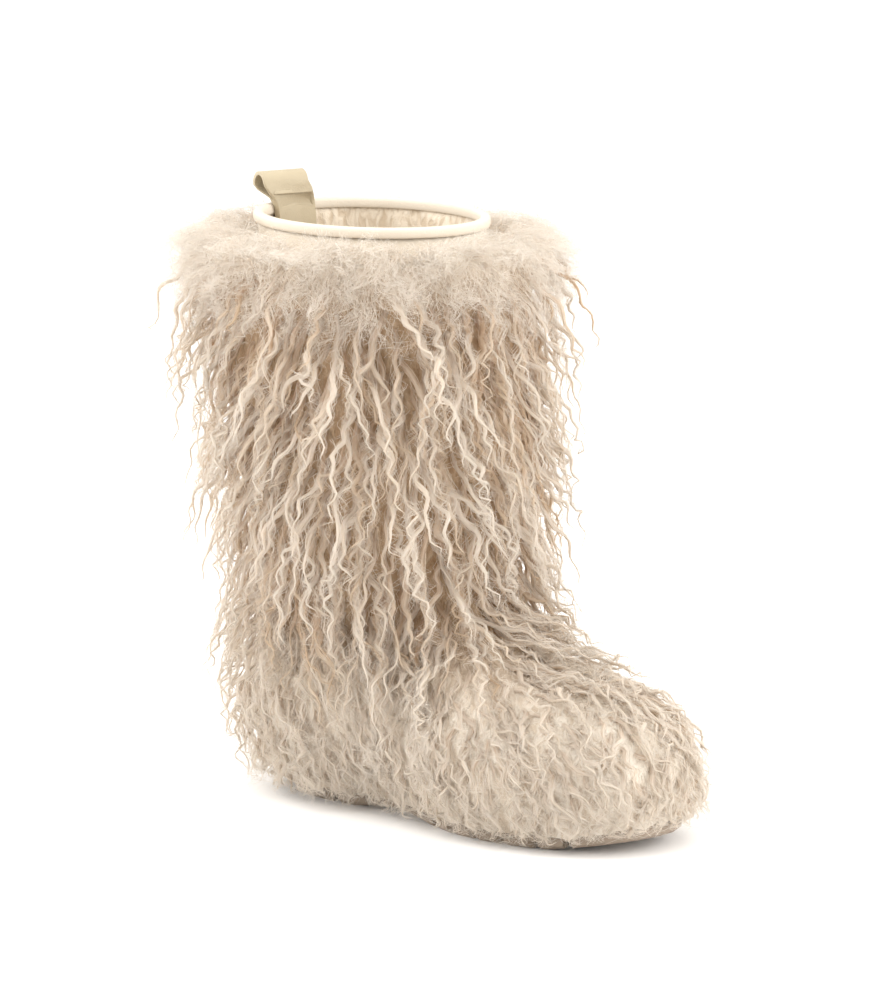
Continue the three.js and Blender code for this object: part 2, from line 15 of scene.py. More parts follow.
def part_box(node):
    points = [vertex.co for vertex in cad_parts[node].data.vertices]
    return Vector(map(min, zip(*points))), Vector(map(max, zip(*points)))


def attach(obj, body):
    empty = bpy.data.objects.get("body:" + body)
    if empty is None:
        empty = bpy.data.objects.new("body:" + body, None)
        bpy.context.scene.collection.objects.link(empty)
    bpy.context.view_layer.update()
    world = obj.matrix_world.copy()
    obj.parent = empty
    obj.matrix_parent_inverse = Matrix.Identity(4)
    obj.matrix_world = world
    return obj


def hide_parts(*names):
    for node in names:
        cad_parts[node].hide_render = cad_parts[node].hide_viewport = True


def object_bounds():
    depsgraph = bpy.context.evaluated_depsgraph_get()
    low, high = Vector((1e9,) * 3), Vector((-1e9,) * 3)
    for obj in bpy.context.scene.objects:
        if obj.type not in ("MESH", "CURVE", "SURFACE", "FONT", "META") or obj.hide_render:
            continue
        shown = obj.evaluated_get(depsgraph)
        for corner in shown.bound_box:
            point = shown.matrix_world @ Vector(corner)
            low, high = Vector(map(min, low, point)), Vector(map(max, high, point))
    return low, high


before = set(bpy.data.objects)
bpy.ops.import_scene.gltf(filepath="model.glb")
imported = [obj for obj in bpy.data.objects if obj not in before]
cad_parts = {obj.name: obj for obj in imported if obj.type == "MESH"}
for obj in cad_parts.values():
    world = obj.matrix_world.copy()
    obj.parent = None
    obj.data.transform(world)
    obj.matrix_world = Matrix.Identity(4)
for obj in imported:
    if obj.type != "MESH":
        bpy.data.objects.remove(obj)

LOG = logging.getLogger("boot")
MM = 0.001
BODY = "root"
Colour = tuple[float, float, float, float]
CAD_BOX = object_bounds()
SHAFT_AXIS = 15 * MM  # X of the middle of the shaft
STRAND_MAP = "OFBake"  # the map of hair: its tone, and the place along the strand
STRAND_ENDS = (0.01, 0.99)  # places of a strand's root and tip in that map
MERGE = 0.02 * MM  # corners of a solid that are closer than this become one
FLAT_ANGLE = math.radians(40)  # most bend between triangles that are joined
SQUARE_ANGLE = math.radians(60)  # how far their joined corners may be from square


def rgb(red: float, green: float, blue: float) -> Colour:
    """Gives an opaque colour from linear red, green and blue."""
    return (red, green, blue, 1.0)


def smooth(value: np.ndarray, low: float, high: float) -> np.ndarray:
    """Rises smoothly from 0 at low to 1 at high.

    Args:
        value: The numbers to look up.
        low: Where the rise starts.
        high: Where the rise ends.

    Returns:
        A share from 0 to 1 for each number.
    """
    share = np.clip((value - low) / (high - low), 0.0, 1.0)
    return share * share * (3.0 - 2.0 * share)


def unit(vectors: np.ndarray) -> np.ndarray:
    """Scales vectors in the last axis to length one."""
    return vectors / np.maximum(np.linalg.norm(vectors, axis=-1, keepdims=True), 1e-12)


@dataclass(frozen=True)
class Field:
    """A number that changes over a surface, written into Python sums as if it were a plain number."""

    paint: "Paint"
    socket: bpy.types.NodeSocket

    def _sum(self, operation: str, first: "Field | float", second: "Field | float") -> "Field":
        """Adds one Math node to the material.

        Args:
            operation: The Math node's operation.
            first: Its first value.
            second: Its second value.

        Returns:
            The result as a field.
        """
        made = self.paint.node("ShaderNodeMath", {"operation": operation}, {0: first, 1: second})
        return Field(self.paint, made.outputs[0])

    def __add__(self, other: "Field | float") -> "Field":
        """Adds."""
        return self._sum("ADD", self, other)

    def __rsub__(self, other: float) -> "Field":
        """Takes this away from a number."""
        return self._sum("SUBTRACT", other, self)

    def __mul__(self, other: "Field | float") -> "Field":
        """Multiplies."""
        return self._sum("MULTIPLY", self, other)

    def below(self, edge: float, soft: float) -> "Field":
        """Gives 1 well below an edge and 0 well above it.

        Args:
            edge: Where the change is.
            soft: Half the width of the change.

        Returns:
            A field from 0 to 1.
        """
        made = self.paint.node(
            "ShaderNodeMapRange",
            {"interpolation_type": "SMOOTHSTEP"},
            {"Value": self, "From Min": edge - soft, "From Max": edge + soft, "To Min": 1.0, "To Max": 0.0},
        )
        return Field(self.paint, made.outputs[0])


class Paint:
    """One material and the nodes that it is made of."""

    def __init__(self, name: str) -> None:
        """Starts an empty material.

        Args:
            name: The material's name.
        """
        self.material = bpy.data.materials.new(name)
        self.material.use_nodes = True
        self.tree = self.material.node_tree
        self.tree.nodes.clear()

    def node(self, kind: str, settings: dict | None = None, sockets: dict | None = None) -> bpy.types.Node:
        """Adds one node.

        Args:
            kind: The node's Blender type.
            settings: Its properties; "stops" are a colour ramp's places and colours.
            sockets: Values or links of its inputs, by name or number.

        Returns:
            The node.
        """
        made = self.tree.nodes.new(kind)
        for name, value in (settings or {}).items():
            if name == "stops":
                self._set_stops(made.color_ramp, value)
            else:
                setattr(made, name, value)
        for name, value in (sockets or {}).items():
            target = made.inputs[name]
            if isinstance(value, Field):
                self.tree.links.new(value.socket, target)
            elif isinstance(value, bpy.types.NodeSocket):
                self.tree.links.new(value, target)
            else:
                target.default_value = value
        return made

    @staticmethod
    def _set_stops(ramp: bpy.types.ColorRamp, stops: list[tuple[float, Colour]]) -> None:
        """Sets a colour ramp's stops.

        Args:
            ramp: The ramp.
            stops: Places from 0 to 1 with their colours.
        """
        while len(ramp.elements) < len(stops):
            ramp.elements.new(0.5)
        for element, (place, colour) in zip(ramp.elements, stops):
            element.position = place
            element.color = colour

    def place(self, stretch: tuple[float, float, float] = (1, 1, 1)) -> bpy.types.NodeSocket:
        """Gives Object coordinates, stretched.

        Args:
            stretch: Factors along X, Y and Z.

        Returns:
            The vector socket.
        """
        source = self.node("ShaderNodeTexCoord").outputs["Object"]
        return self.node("ShaderNodeMapping", None, {"Vector": source, "Scale": stretch}).outputs[0]

    def noise(self, where: bpy.types.NodeSocket, scale: float, detail: float = 3.0,
              twist: float = 0.0) -> Field:
        """Gives cloudy noise from 0 to 1.

        Args:
            where: The coordinates.
            scale: Clouds per metre.
            detail: Finer clouds added.
            twist: Distortion of the clouds.

        Returns:
            The noise.
        """
        made = self.node("ShaderNodeTexNoise", None,
                         {"Vector": where, "Scale": scale, "Detail": detail, "Distortion": twist})
        return Field(self, made.outputs[0])

    def pebbles(self, where: bpy.types.NodeSocket, scale: float) -> Field:
        """Gives the distance to scattered points, as in pebbled grain.

        Args:
            where: The coordinates.
            scale: Pebbles per metre.

        Returns:
            The distance, 0 at each point.
        """
        made = self.node("ShaderNodeTexVoronoi", None, {"Vector": where, "Scale": scale})
        return Field(self, made.outputs["Distance"])

    def parts(self, where: bpy.types.NodeSocket) -> tuple[Field, Field, Field]:
        """Splits coordinates into X, Y and Z."""
        made = self.node("ShaderNodeSeparateXYZ", None, {0: where})
        return tuple(Field(self, socket) for socket in made.outputs)

    def ramp(self, value: Field, stops: list[tuple[float, Colour]]) -> bpy.types.NodeSocket:
        """Gives a colour for a number.

        Args:
            value: The number.
            stops: Places from 0 to 1 with their colours.

        Returns:
            The colour socket.
        """
        return self.node("ShaderNodeValToRGB", {"stops": stops}, {0: value}).outputs[0]

    def blend(self, share: Field, first: "bpy.types.NodeSocket | Colour",
              second: "bpy.types.NodeSocket | Colour", how: str = "MIX") -> bpy.types.NodeSocket:
        """Mixes two colours.

        Args:
            share: How much of the second shows.
            first: The first colour.
            second: The second colour.
            how: The Mix node's blend type.

        Returns:
            The colour socket.
        """
        settings = {"data_type": "RGBA", "blend_type": how}
        return self.node("ShaderNodeMix", settings, {0: share, 6: first, 7: second}).outputs[2]

    def bump(self, height: Field, depth: float, strength: float = 1.0) -> bpy.types.NodeSocket:
        """Gives a normal from a height.

        Args:
            height: The height, about 0 to 1.
            depth: What a height of 1 measures, in metres.
            strength: How much of it shows.

        Returns:
            The normal socket.
        """
        made = self.node("ShaderNodeBump", None, {"Height": height, "Distance": depth, "Strength": strength})
        return made.outputs[0]

    def surface(self, see_through: float = 0.0, **sockets: object) -> bpy.types.Material:
        """Finishes the material.

        Args:
            see_through: Share of light that passes through thin hair or cloth.
            sockets: Principled shader inputs, with _ for a space.

        Returns:
            The material.
        """
        named = {name.replace("_", " "): value for name, value in sockets.items()}
        shader = self.node("ShaderNodeBsdfPrincipled", None, named).outputs[0]
        if see_through:
            colour = {"Color": named["Base Color"]}
            through = self.node("ShaderNodeBsdfTranslucent", None, colour).outputs[0]
            mixed = {0: see_through, 1: shader, 2: through}
            shader = self.node("ShaderNodeMixShader", None, mixed).outputs[0]
        self.node("ShaderNodeOutputMaterial", None, {"Surface": shader})
        return self.material


@dataclass(frozen=True)
class FleeceFinish:
    """Curly wool whose tone is set lock by lock and strand by strand, and which is painted darker at its root
    as shade deep in the fleece.
    """

    deep: Colour = rgb(0.52, 0.365, 0.225)
    middle: Colour = rgb(0.81, 0.70, 0.56)
    pale: Colour = rgb(0.88, 0.84, 0.78)
    # Painted shade: roots are multiplied by this colour, for the shade deep in the fleece.
    root: Colour = rgb(0.70, 0.55, 0.42)
    root_shade_share: float = 0.6
    streak: Colour = rgb(0.80, 0.70, 0.60)
    streaks: tuple[float, float, float] = (160.0, 5.0, 1.0)
    streak_edge: tuple[float, float] = (0.5, 0.22)
    streak_fades: float = 1.25  # the tone at which streaks would be gone
    root_shade_edge: tuple[float, float] = (0.25, 0.3)
    root_shade_fades: float = 1.35  # the tone at which the painted shade at the roots would be gone
    tones: tuple[float, float, float] = (0.0, 0.45, 0.95)  # of the deep, middle and pale colours
    see_through: float = 0.6
    roughness: float = 0.62
    specular: float = 0.22

    def material(self) -> bpy.types.Material:
        """Makes the material of hair, from the tone and the length along the strand in its map.

        Returns:
            The material.
        """
        paint = Paint("fleece_hair")
        strand = paint.node("ShaderNodeUVMap", {"uv_map": STRAND_MAP}).outputs[0]
        tone, along, _ = paint.parts(strand)
        colour = paint.ramp(tone, list(zip(self.tones, (self.deep, self.middle, self.pale))))
        drawn = paint.node("ShaderNodeMapping", None, {"Vector": strand, "Scale": self.streaks}).outputs[0]
        fibres = paint.noise(drawn, 1.0, 2.0)
        dark = fibres.below(*self.streak_edge) * (self.streak_fades - tone)
        streaked = paint.blend(dark, colour, self.streak, "MULTIPLY")
        # Painted shade: strands darken towards the root, less so on pale ones.
        shaded = along.below(*self.root_shade_edge) * (self.root_shade_fades - tone) * self.root_shade_share
        root_shaded = paint.blend(shaded, streaked, self.root, "MULTIPLY")
        return paint.surface(self.see_through, Base_Color=root_shaded, Roughness=self.roughness,
                             Specular_IOR_Level=self.specular)


@dataclass(frozen=True)
class DownFinish:
    """The dense short wool under the locks: dark brown on the shaft as painted shade in the gaps between its
    locks, pale at the collar and foot.
    """

    # Painted shade: the brown of the shaft's wool stands for the shade in the gaps between its locks, and
    # both ramps are darker in the hollows of the tufts.
    low: Colour = rgb(0.33, 0.21, 0.118)
    high: Colour = rgb(0.58, 0.44, 0.31)
    pale_low: Colour = rgb(0.69, 0.59, 0.475)
    pale: Colour = rgb(0.87, 0.805, 0.71)
    tufts: float = 170.0
    fibres: float = 900.0
    collar: float = 306 * MM
    foot: float = 90 * MM
    soft: float = 22 * MM
    foot_share: float = 0.9
    drawn_out: tuple[float, float, float] = (1.0, 1.0, 0.4)  # tufts are longer downwards
    tuft_share: float = 0.75
    fibre_share: float = 0.25
    gap_shade_edge: tuple[float, float] = (0.3, 0.7)
    pale_edge: tuple[float, float] = (0.36, 0.56)
    bump: float = 5 * MM
    roughness: float = 0.9
    specular: float = 0.1

    def material(self) -> bpy.types.Material:
        """Makes the material of the wool under the locks.

        Returns:
            The material.
        """
        paint = Paint("fleece_down")
        fall = paint.place(self.drawn_out)
        tufts = paint.noise(fall, self.tufts, 4.0, 1.5)
        fibres = paint.noise(fall, self.fibres, 2.0, 2.0)
        height = tufts * self.tuft_share + fibres * self.fibre_share
        # Painted shade: darker in the hollows of the tufts.
        gap_shade = paint.ramp(height, list(zip(self.gap_shade_edge, (self.low, self.high))))
        _, _, level = paint.parts(paint.place())
        light = 1 - level.below(self.collar, self.soft) + level.below(self.foot, self.soft) * self.foot_share
        fluff = paint.ramp(height, list(zip(self.pale_edge, (self.pale_low, self.pale))))
        colour = paint.blend(light, gap_shade, fluff)
        return paint.surface(Base_Color=colour, Roughness=self.roughness, Specular_IOR_Level=self.specular,
                             Normal=paint.bump(height, self.bump))


@dataclass(frozen=True)
class LeatherFinish:
    """Smooth soft leather with a fine grain and faint handling marks."""

    name: str
    body: Colour
    worn: Colour
    roughness: float = 0.5
    grain: float = 1500.0
    clouds: float = 90.0
    creases: float = 420.0
    grain_share: float = 0.35
    crease_share: float = 0.65
    bump: float = 0.35 * MM
    bump_share: float = 0.8
    worn_rough: float = 0.15  # how far the roughness varies with wear
    worn_smooth: float = 0.07  # how far below the roughness it starts
    specular: float = 0.35

    def material(self) -> bpy.types.Material:
        """Makes the leather's material.

        Returns:
            The material.
        """
        paint = Paint(self.name)
        where = paint.place()
        clouds = paint.noise(where, self.clouds, 4.0)
        grain = paint.pebbles(where, self.grain)
        creases = paint.noise(where, self.creases, 3.0, 1.0)
        colour = paint.blend(clouds, self.body, self.worn)
        height = grain * self.grain_share + creases * self.crease_share
        rough = clouds * self.worn_rough + (self.roughness - self.worn_smooth)
        return paint.surface(Base_Color=colour, Roughness=rough, Specular_IOR_Level=self.specular,
                             Normal=paint.bump(height, self.bump, self.bump_share))


@dataclass(frozen=True)
class LiningFinish:
    """Brushed textile lining, matt and slightly blotched, gathered below the collar, with painted shade in
    the folds of the gathers.
    """

    body: Colour = rgb(0.82, 0.74, 0.62)
    shade: Colour = rgb(0.66, 0.56, 0.44)
    # Painted shade in the folds of the gathers.
    fold_shade: Colour = rgb(0.50, 0.39, 0.27)
    gathered_from: float = 312 * MM
    gathered_soft: float = 10 * MM
    gathers: float = 240.0
    drawn_out: tuple[float, float, float] = (1.0, 1.0, 0.35)
    fold_shade_edge: tuple[float, float] = (0.47, 0.1)
    fold_shade_share: float = 0.7
    blotches: float = 60.0
    blotch_share: float = 0.6
    nap: float = 1400.0
    nap_share: float = 0.4
    nap_height: float = 0.2
    bump: float = 2.2 * MM
    bump_share: float = 0.9
    roughness: float = 0.85
    sheen: float = 0.25
    specular: float = 0.2

    def material(self) -> bpy.types.Material:
        """Makes the lining's material.

        Returns:
            The material.
        """
        paint = Paint("lining_cloth")
        where = paint.place()
        blotch = paint.noise(where, self.blotches, 3.0)
        nap = paint.noise(where, self.nap, 3.0)
        plain = paint.blend(blotch * self.blotch_share + nap * self.nap_share, self.shade, self.body)
        _, _, level = paint.parts(where)
        near = 1 - level.below(self.gathered_from, self.gathered_soft)
        gather = paint.noise(paint.place(self.drawn_out), self.gathers, 2.0, 0.6)
        # Painted shade: the low parts of the gathers take the fold colour.
        colour = paint.blend(gather.below(*self.fold_shade_edge) * near * self.fold_shade_share, plain, self.fold_shade)
        normal = paint.bump(nap * self.nap_height + gather * near, self.bump, self.bump_share)
        return paint.surface(Base_Color=colour, Roughness=self.roughness, Normal=normal,
                             Sheen_Weight=self.sheen, Specular_IOR_Level=self.specular)


@dataclass(frozen=True)
class FeltFinish:
    """Thick wool felt with short curls, painted darker in the hollows between them."""

    body: Colour = rgb(0.78, 0.69, 0.56)
    shade: Colour = rgb(0.58, 0.48, 0.36)
    tones: tuple[float, float] = (0.3, 0.65)  # heights of the painted shade in the hollows and of the body colour
    curls: float = 260.0
    curl_share: float = 0.7
    fibres: float = 1300.0
    fibre_share: float = 0.3
    bump: float = 2 * MM
    roughness: float = 0.95
    sheen: float = 0.3
    specular: float = 0.1

    def material(self) -> bpy.types.Material:
        """Makes the footbed's material.

        Returns:
            The material.
        """
        paint = Paint("footbed_felt")
        where = paint.place()
        curls = paint.noise(where, self.curls, 3.0, 2.5)
        fibres = paint.noise(where, self.fibres, 2.0, 1.0)
        height = curls * self.curl_share + fibres * self.fibre_share
        # Painted shade: lower parts of the curls take the shade colour.
        colour = paint.ramp(height, list(zip(self.tones, (self.shade, self.body))))
        return paint.surface(Base_Color=colour, Roughness=self.roughness, Sheen_Weight=self.sheen,
                             Specular_IOR_Level=self.specular, Normal=paint.bump(height, self.bump))


@dataclass(frozen=True)
class RubberFinish:
    """Matt moulded rubber with a fine sandy skin and faint clouds of dust."""

    body: Colour = rgb(0.27, 0.21, 0.16)
    dust: Colour = rgb(0.38, 0.31, 0.245)
    clouds: float = 45.0
    dust_share: float = 0.7
    sand: float = 2200.0
    bump: float = 0.15 * MM
    roughness: float = 0.55
    sand_rough: float = 0.2
    specular: float = 0.4

    def material(self) -> bpy.types.Material:
        """Makes the sole's material.

        Returns:
            The material.
        """
        paint = Paint("sole_rubber")
        where = paint.place()
        clouds = paint.noise(where, self.clouds, 4.0)
        sand = paint.noise(where, self.sand, 2.0)
        colour = paint.blend(clouds * self.dust_share, self.body, self.dust)
        rough = sand * self.sand_rough + self.roughness
        return paint.surface(Base_Color=colour, Roughness=rough, Specular_IOR_Level=self.specular,
                             Normal=paint.bump(sand, self.bump))


@dataclass(frozen=True)
class FloorFinish:
    """Plain pale studio paper."""

    body: Colour = rgb(0.93, 0.93, 0.93)
    roughness: float = 0.9
    specular: float = 0.1

    def material(self) -> bpy.types.Material:
        """Makes the floor's material."""
        return Paint("studio_paper").surface(Base_Color=self.body, Roughness=self.roughness,
                                             Specular_IOR_Level=self.specular)


def add_piece(name: str, mesh: bpy.types.Mesh, material: bpy.types.Material, slot: str,
              *stands_for: str) -> bpy.types.Object:
    """Puts a finished mesh on the boot.

    Args:
        name: The piece's name.
        mesh: Its mesh, in place.
        material: Its material.
        slot: The record's material slot for the piece; not used.
        stands_for: The CAD nodes that it replaces.

    Returns:
        The new object.
    """
    mesh.name = name
    mesh.materials.clear()
    mesh.materials.append(material)
    piece = bpy.data.objects.new(name, mesh)
    bpy.context.scene.collection.objects.link(piece)
    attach(piece, BODY)
    if stands_for:
        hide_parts(*stands_for)
    LOG.info("%s: %d faces", name, len(mesh.polygons))
    return piece


def dress_node(node: str, material: bpy.types.Material) -> None:
    """Gives a CAD node its material.

    Args:
        node: The node's name.
        material: The material.
    """
    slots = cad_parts[node].data.materials
    slots.clear()
    slots.append(material)
    LOG.info("%s: dressed", node)


def node_bmesh(node: str) -> bmesh.types.BMesh:
    """Copies a CAD node's mesh with its corners merged and flat pairs of triangles joined.

    Args:
        node: The node's name.

    Returns:
        The copy, which the caller frees.
    """
    copy = bmesh.new()
    copy.from_mesh(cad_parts[node].data)
    bmesh.ops.remove_doubles(copy, verts=copy.verts[:], dist=MERGE)
    bmesh.ops.join_triangles(copy, faces=copy.faces[:], angle_face_threshold=FLAT_ANGLE,
                             angle_shape_threshold=SQUARE_ANGLE)
    copy.normal_update()
    return copy


def node_tree(*nodes: str) -> BVHTree:
    """Makes a search tree over the faces of CAD nodes.

    Args:
        nodes: Their names.

    Returns:
        The tree.
    """
    joined = bmesh.new()
    for node in nodes:
        joined.from_mesh(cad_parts[node].data)
    tree = BVHTree.FromBMesh(joined)
    joined.free()
    return tree


def to_mesh(shape: bmesh.types.BMesh) -> bpy.types.Mesh:
    """Turns a bmesh into a smoothly shaded mesh and frees it.

    Args:
        shape: The bmesh.

    Returns:
        The mesh.
    """
    mesh = bpy.data.meshes.new("shape")
    shape.to_mesh(mesh)
    shape.free()
    mesh.shade_smooth()
    return mesh


def add_subdivision(piece: bpy.types.Object, levels: int) -> None:
    """Finishes a piece with a Subdivision Surface.

    Args:
        piece: The piece.
        levels: Its levels, the same in the view and the render.
    """
    finish = piece.modifiers.new("round", "SUBSURF")
    finish.levels = levels
    finish.render_levels = levels


class Zone(Enum):
    """Where on the boot a lock grows."""

    RUFF = "ruff"
    SHAFT = "shaft"
    FOOT = "foot"


@dataclass(frozen=True)
class LockStyle:
    """How the locks of one zone grow. Lengths are in metres."""

    spacing: float  # between roots
    lying: int  # strands that lie on a lock
    loose: int  # loose strands round it
    length: tuple[float, float]
    girth: tuple[float, float]  # a lock's radius near its root
    taper: float  # share of the radius lost at the tip
    wave: tuple[float, float]  # length of one wave
    swing: tuple[float, float]  # how far a wave goes to each side
    lying_width: float  # width of a strand on the lock
    loose_width: float  # width of a loose one
    rise: tuple[float, float]  # how far a lock stands off the wool, over the room that there is
    least: float  # the least room
    tone: float  # from 0, deep, to 1, pale
    depth_shade: float  # painted shade: how much paler the outer locks are than the deeper ones
    mottle: float  # how far locks differ in tone by chance
    bright: float  # how much paler loose strands are
    stray: float  # how far locks turn aside, in degrees
    segment: float  # length of one face of a strand
    solid: bool = True  # whether locks have a soft body


@dataclass
class Curls:
    """How each lock of a zone winds, with one number for each lock."""

    turns: np.ndarray  # all its waves, in radians
    start: np.ndarray  # where its first wave starts, in radians
    hand: np.ndarray  # 1 or -1, the way that it winds
    swing: np.ndarray
    slow: np.ndarray  # where its slow bend starts, in radians
    girth: np.ndarray
    tone: np.ndarray

    @classmethod
    def draw(cls, rng: np.random.Generator, style: LockStyle, length: np.ndarray,
             rise: np.ndarray) -> "Curls":
        """Draws the numbers; locks that stand further out are paler, and deeper ones are painted darker for
        their shade.

        Args:
            rng: The source of random numbers.
            style: How the locks grow.
            length: The locks' lengths.
            rise: How far the locks stand out, from -1 to 1.

        Returns:
            The numbers of every lock.
        """
        count = len(length)
        return cls(
            turns=2 * math.pi * length / rng.uniform(*style.wave, count),
            start=rng.uniform(0, 2 * math.pi, count),
            hand=rng.choice((-1.0, 1.0), count),
            swing=rng.uniform(*style.swing, count),
            slow=rng.uniform(0, 2 * math.pi, count),
            girth=rng.uniform(*style.girth, count),
            # Painted shade: deeper locks get a darker tone.
            tone=style.tone + style.depth_shade * rise + rng.normal(0, style.mottle, count),
        )


@dataclass
class Fall:
    """Middle lines of locks, the outward directions along them, and the share of each that is used."""

    path: np.ndarray
    out: np.ndarray
    rise: np.ndarray  # how far each stands out, from -1 to 1
    drop: np.ndarray

    def follow(self, lock: np.ndarray, reach: np.ndarray, share: np.ndarray) -> tuple[np.ndarray, ...]:
        """Walks along middle lines.

        Args:
            lock: The lock of each walk.
            reach: How much of the lock it covers.
            share: Places along the walk, from 0 to 1.

        Returns:
            The points, with the directions to the side and outwards at each.
        """
        last = self.path.shape[1] - 1
        place = share[None, :] * (reach * self.drop[lock])[:, None] * last
        low = np.minimum(place.astype(int), last - 1)
        part = (place - low)[:, :, None]
        row = lock[:, None]
        middle = self.path[row, low] * (1 - part) + self.path[row, low + 1] * part
        outward = self.out[row, low] * (1 - part) + self.out[row, low + 1] * part
        return middle, *frames(middle, outward)


@dataclass(frozen=True)
class Winding:
    """How strands wind round their lock's middle line: unevenly, and more widely towards the tip."""

    loose_start: float = 0.8  # how far loose strands leave the lock's waves, in radians
    loose_turns: tuple[float, float] = (-0.1, 0.4)  # share of waves that loose strands have more
    loose_swing: tuple[float, float] = (-0.1, 1.4)  # share of swing that they have more
    tighten: float = 0.15  # how much shorter waves get towards the tip
    root_swing: float = 0.45  # share of the swing at the root
    swing_grows: tuple[float, float] = (0.05, 0.5)
    tip_swing: float = 0.6  # swing added at the tip
    tip_from: float = 0.7
    uneven: float = 1.1  # how far waves shift along the lock, in radians
    uneven_swing: float = 0.4
    pace_start: float = 2.7
    pace: float = 6.0
    swing_pace: float = 1.7
    bend: float = 2.8 * MM
    bend_turns: float = 0.3
    bend_grows: tuple[float, float] = (0.1, 0.6)
    flat: float = 0.8  # outward swing over swing to the side

    def wind(self, rng: np.random.Generator, curls: Curls, lock: np.ndarray, share: np.ndarray,
             free: np.ndarray) -> tuple[np.ndarray, np.ndarray]:
        """Gives how far strands go to the side and outwards as they wind round their lock's middle line.

        Args:
            rng: The source of random numbers.
            curls: How the locks wind.
            lock: The lock of each strand.
            share: Places along the strands, from 0 to 1.
            free: How freely each strand leaves its lock's waves, 0 for not at all.

        Returns:
            The distances to the side and outwards.
        """
        start = curls.start[lock] + self.loose_start * free * rng.normal(0, 1, len(lock))
        turns = curls.turns[lock] * (1 + free * rng.uniform(*self.loose_turns, len(lock)))
        pace = curls.slow[lock][:, None] * self.pace_start + self.pace * share
        phase = start[:, None] + turns[:, None] * share * (1 + self.tighten * share**2)
        phase = phase + self.uneven * np.sin(pace)
        swing = curls.swing[lock] * (1 + free * rng.uniform(*self.loose_swing, len(lock)))
        grown = swing[:, None] * (self.root_swing + (1 - self.root_swing) * smooth(share, *self.swing_grows))
        grown = grown * (1 + self.tip_swing * smooth(share, self.tip_from, 1.0))
        grown = grown * (1 + self.uneven_swing * self.uneven * np.cos(self.swing_pace * pace))
        slow = curls.slow[lock][:, None] + self.bend_turns * curls.turns[lock][:, None] * share
        bend = self.bend * np.sin(slow) * smooth(share, *self.bend_grows)
        return bend + grown * np.cos(phase), self.flat * grown * np.sin(phase) * curls.hand[lock][:, None]


@dataclass(frozen=True)
class BodyShape:
    """The soft body inside a lock."""

    sides: int = 4
    reach: float = 0.9  # share of the lock's length
    root_girth: float = 0.6
    root_part: float = 0.2
    taper_from: float = 0.15
    lumps: float = 0.16
    lump_start: float = 3.0
    lump_pace: float = 1.7
    tip_from: float = 0.88
    tip_loss: float = 0.9
    flat: float = 0.75  # thickness over width
    round_shade: float = 0.05  # painted light and shade: how far the tone changes round the body, paler outwards and darker inwards
    tone_mottle: float = 0.05
    tone_most: float = 0.11
    tones: tuple[float, float] = (0.12, 0.86)

    def girth(self, style: LockStyle, share: np.ndarray) -> np.ndarray:
        """Gives a lock's radius along its length, over its largest."""
        root = self.root_girth + (1 - self.root_girth) * smooth(share, 0.0, self.root_part)
        return root * (1 - style.taper * smooth(share, self.taper_from, 1.0))


@dataclass(frozen=True)
class StrandShape:
    """The flat strands on and round a lock."""

    reach: tuple[float, float] = (0.78, 1.0)  # share of the lock's length
    free: float = 0.25  # how freely strands on the lock leave its waves; loose ones have 1
    spread: tuple[float, float] = (0.9, 1.35)  # distance from the middle line, over the lock's radius
    loose_spread: tuple[float, float] = (1.0, 1.9)
    core: float = 0.15  # share of that distance that stays, however thin the lock gets
    flat: float = 0.8
    tilt: float = 0.9
    sway: float = 0.12
    loose_sway: float = 0.4
    widths: tuple[float, float] = (0.7, 1.3)
    tone_mottle: float = 0.06
    paler: float = 0.04  # how much paler strands on the lock are than its body
    thinning: float = 0.75
    thin_late: float = 1.6
    facing: float = 0.5
    tones: tuple[float, float] = (0.03, 0.97)


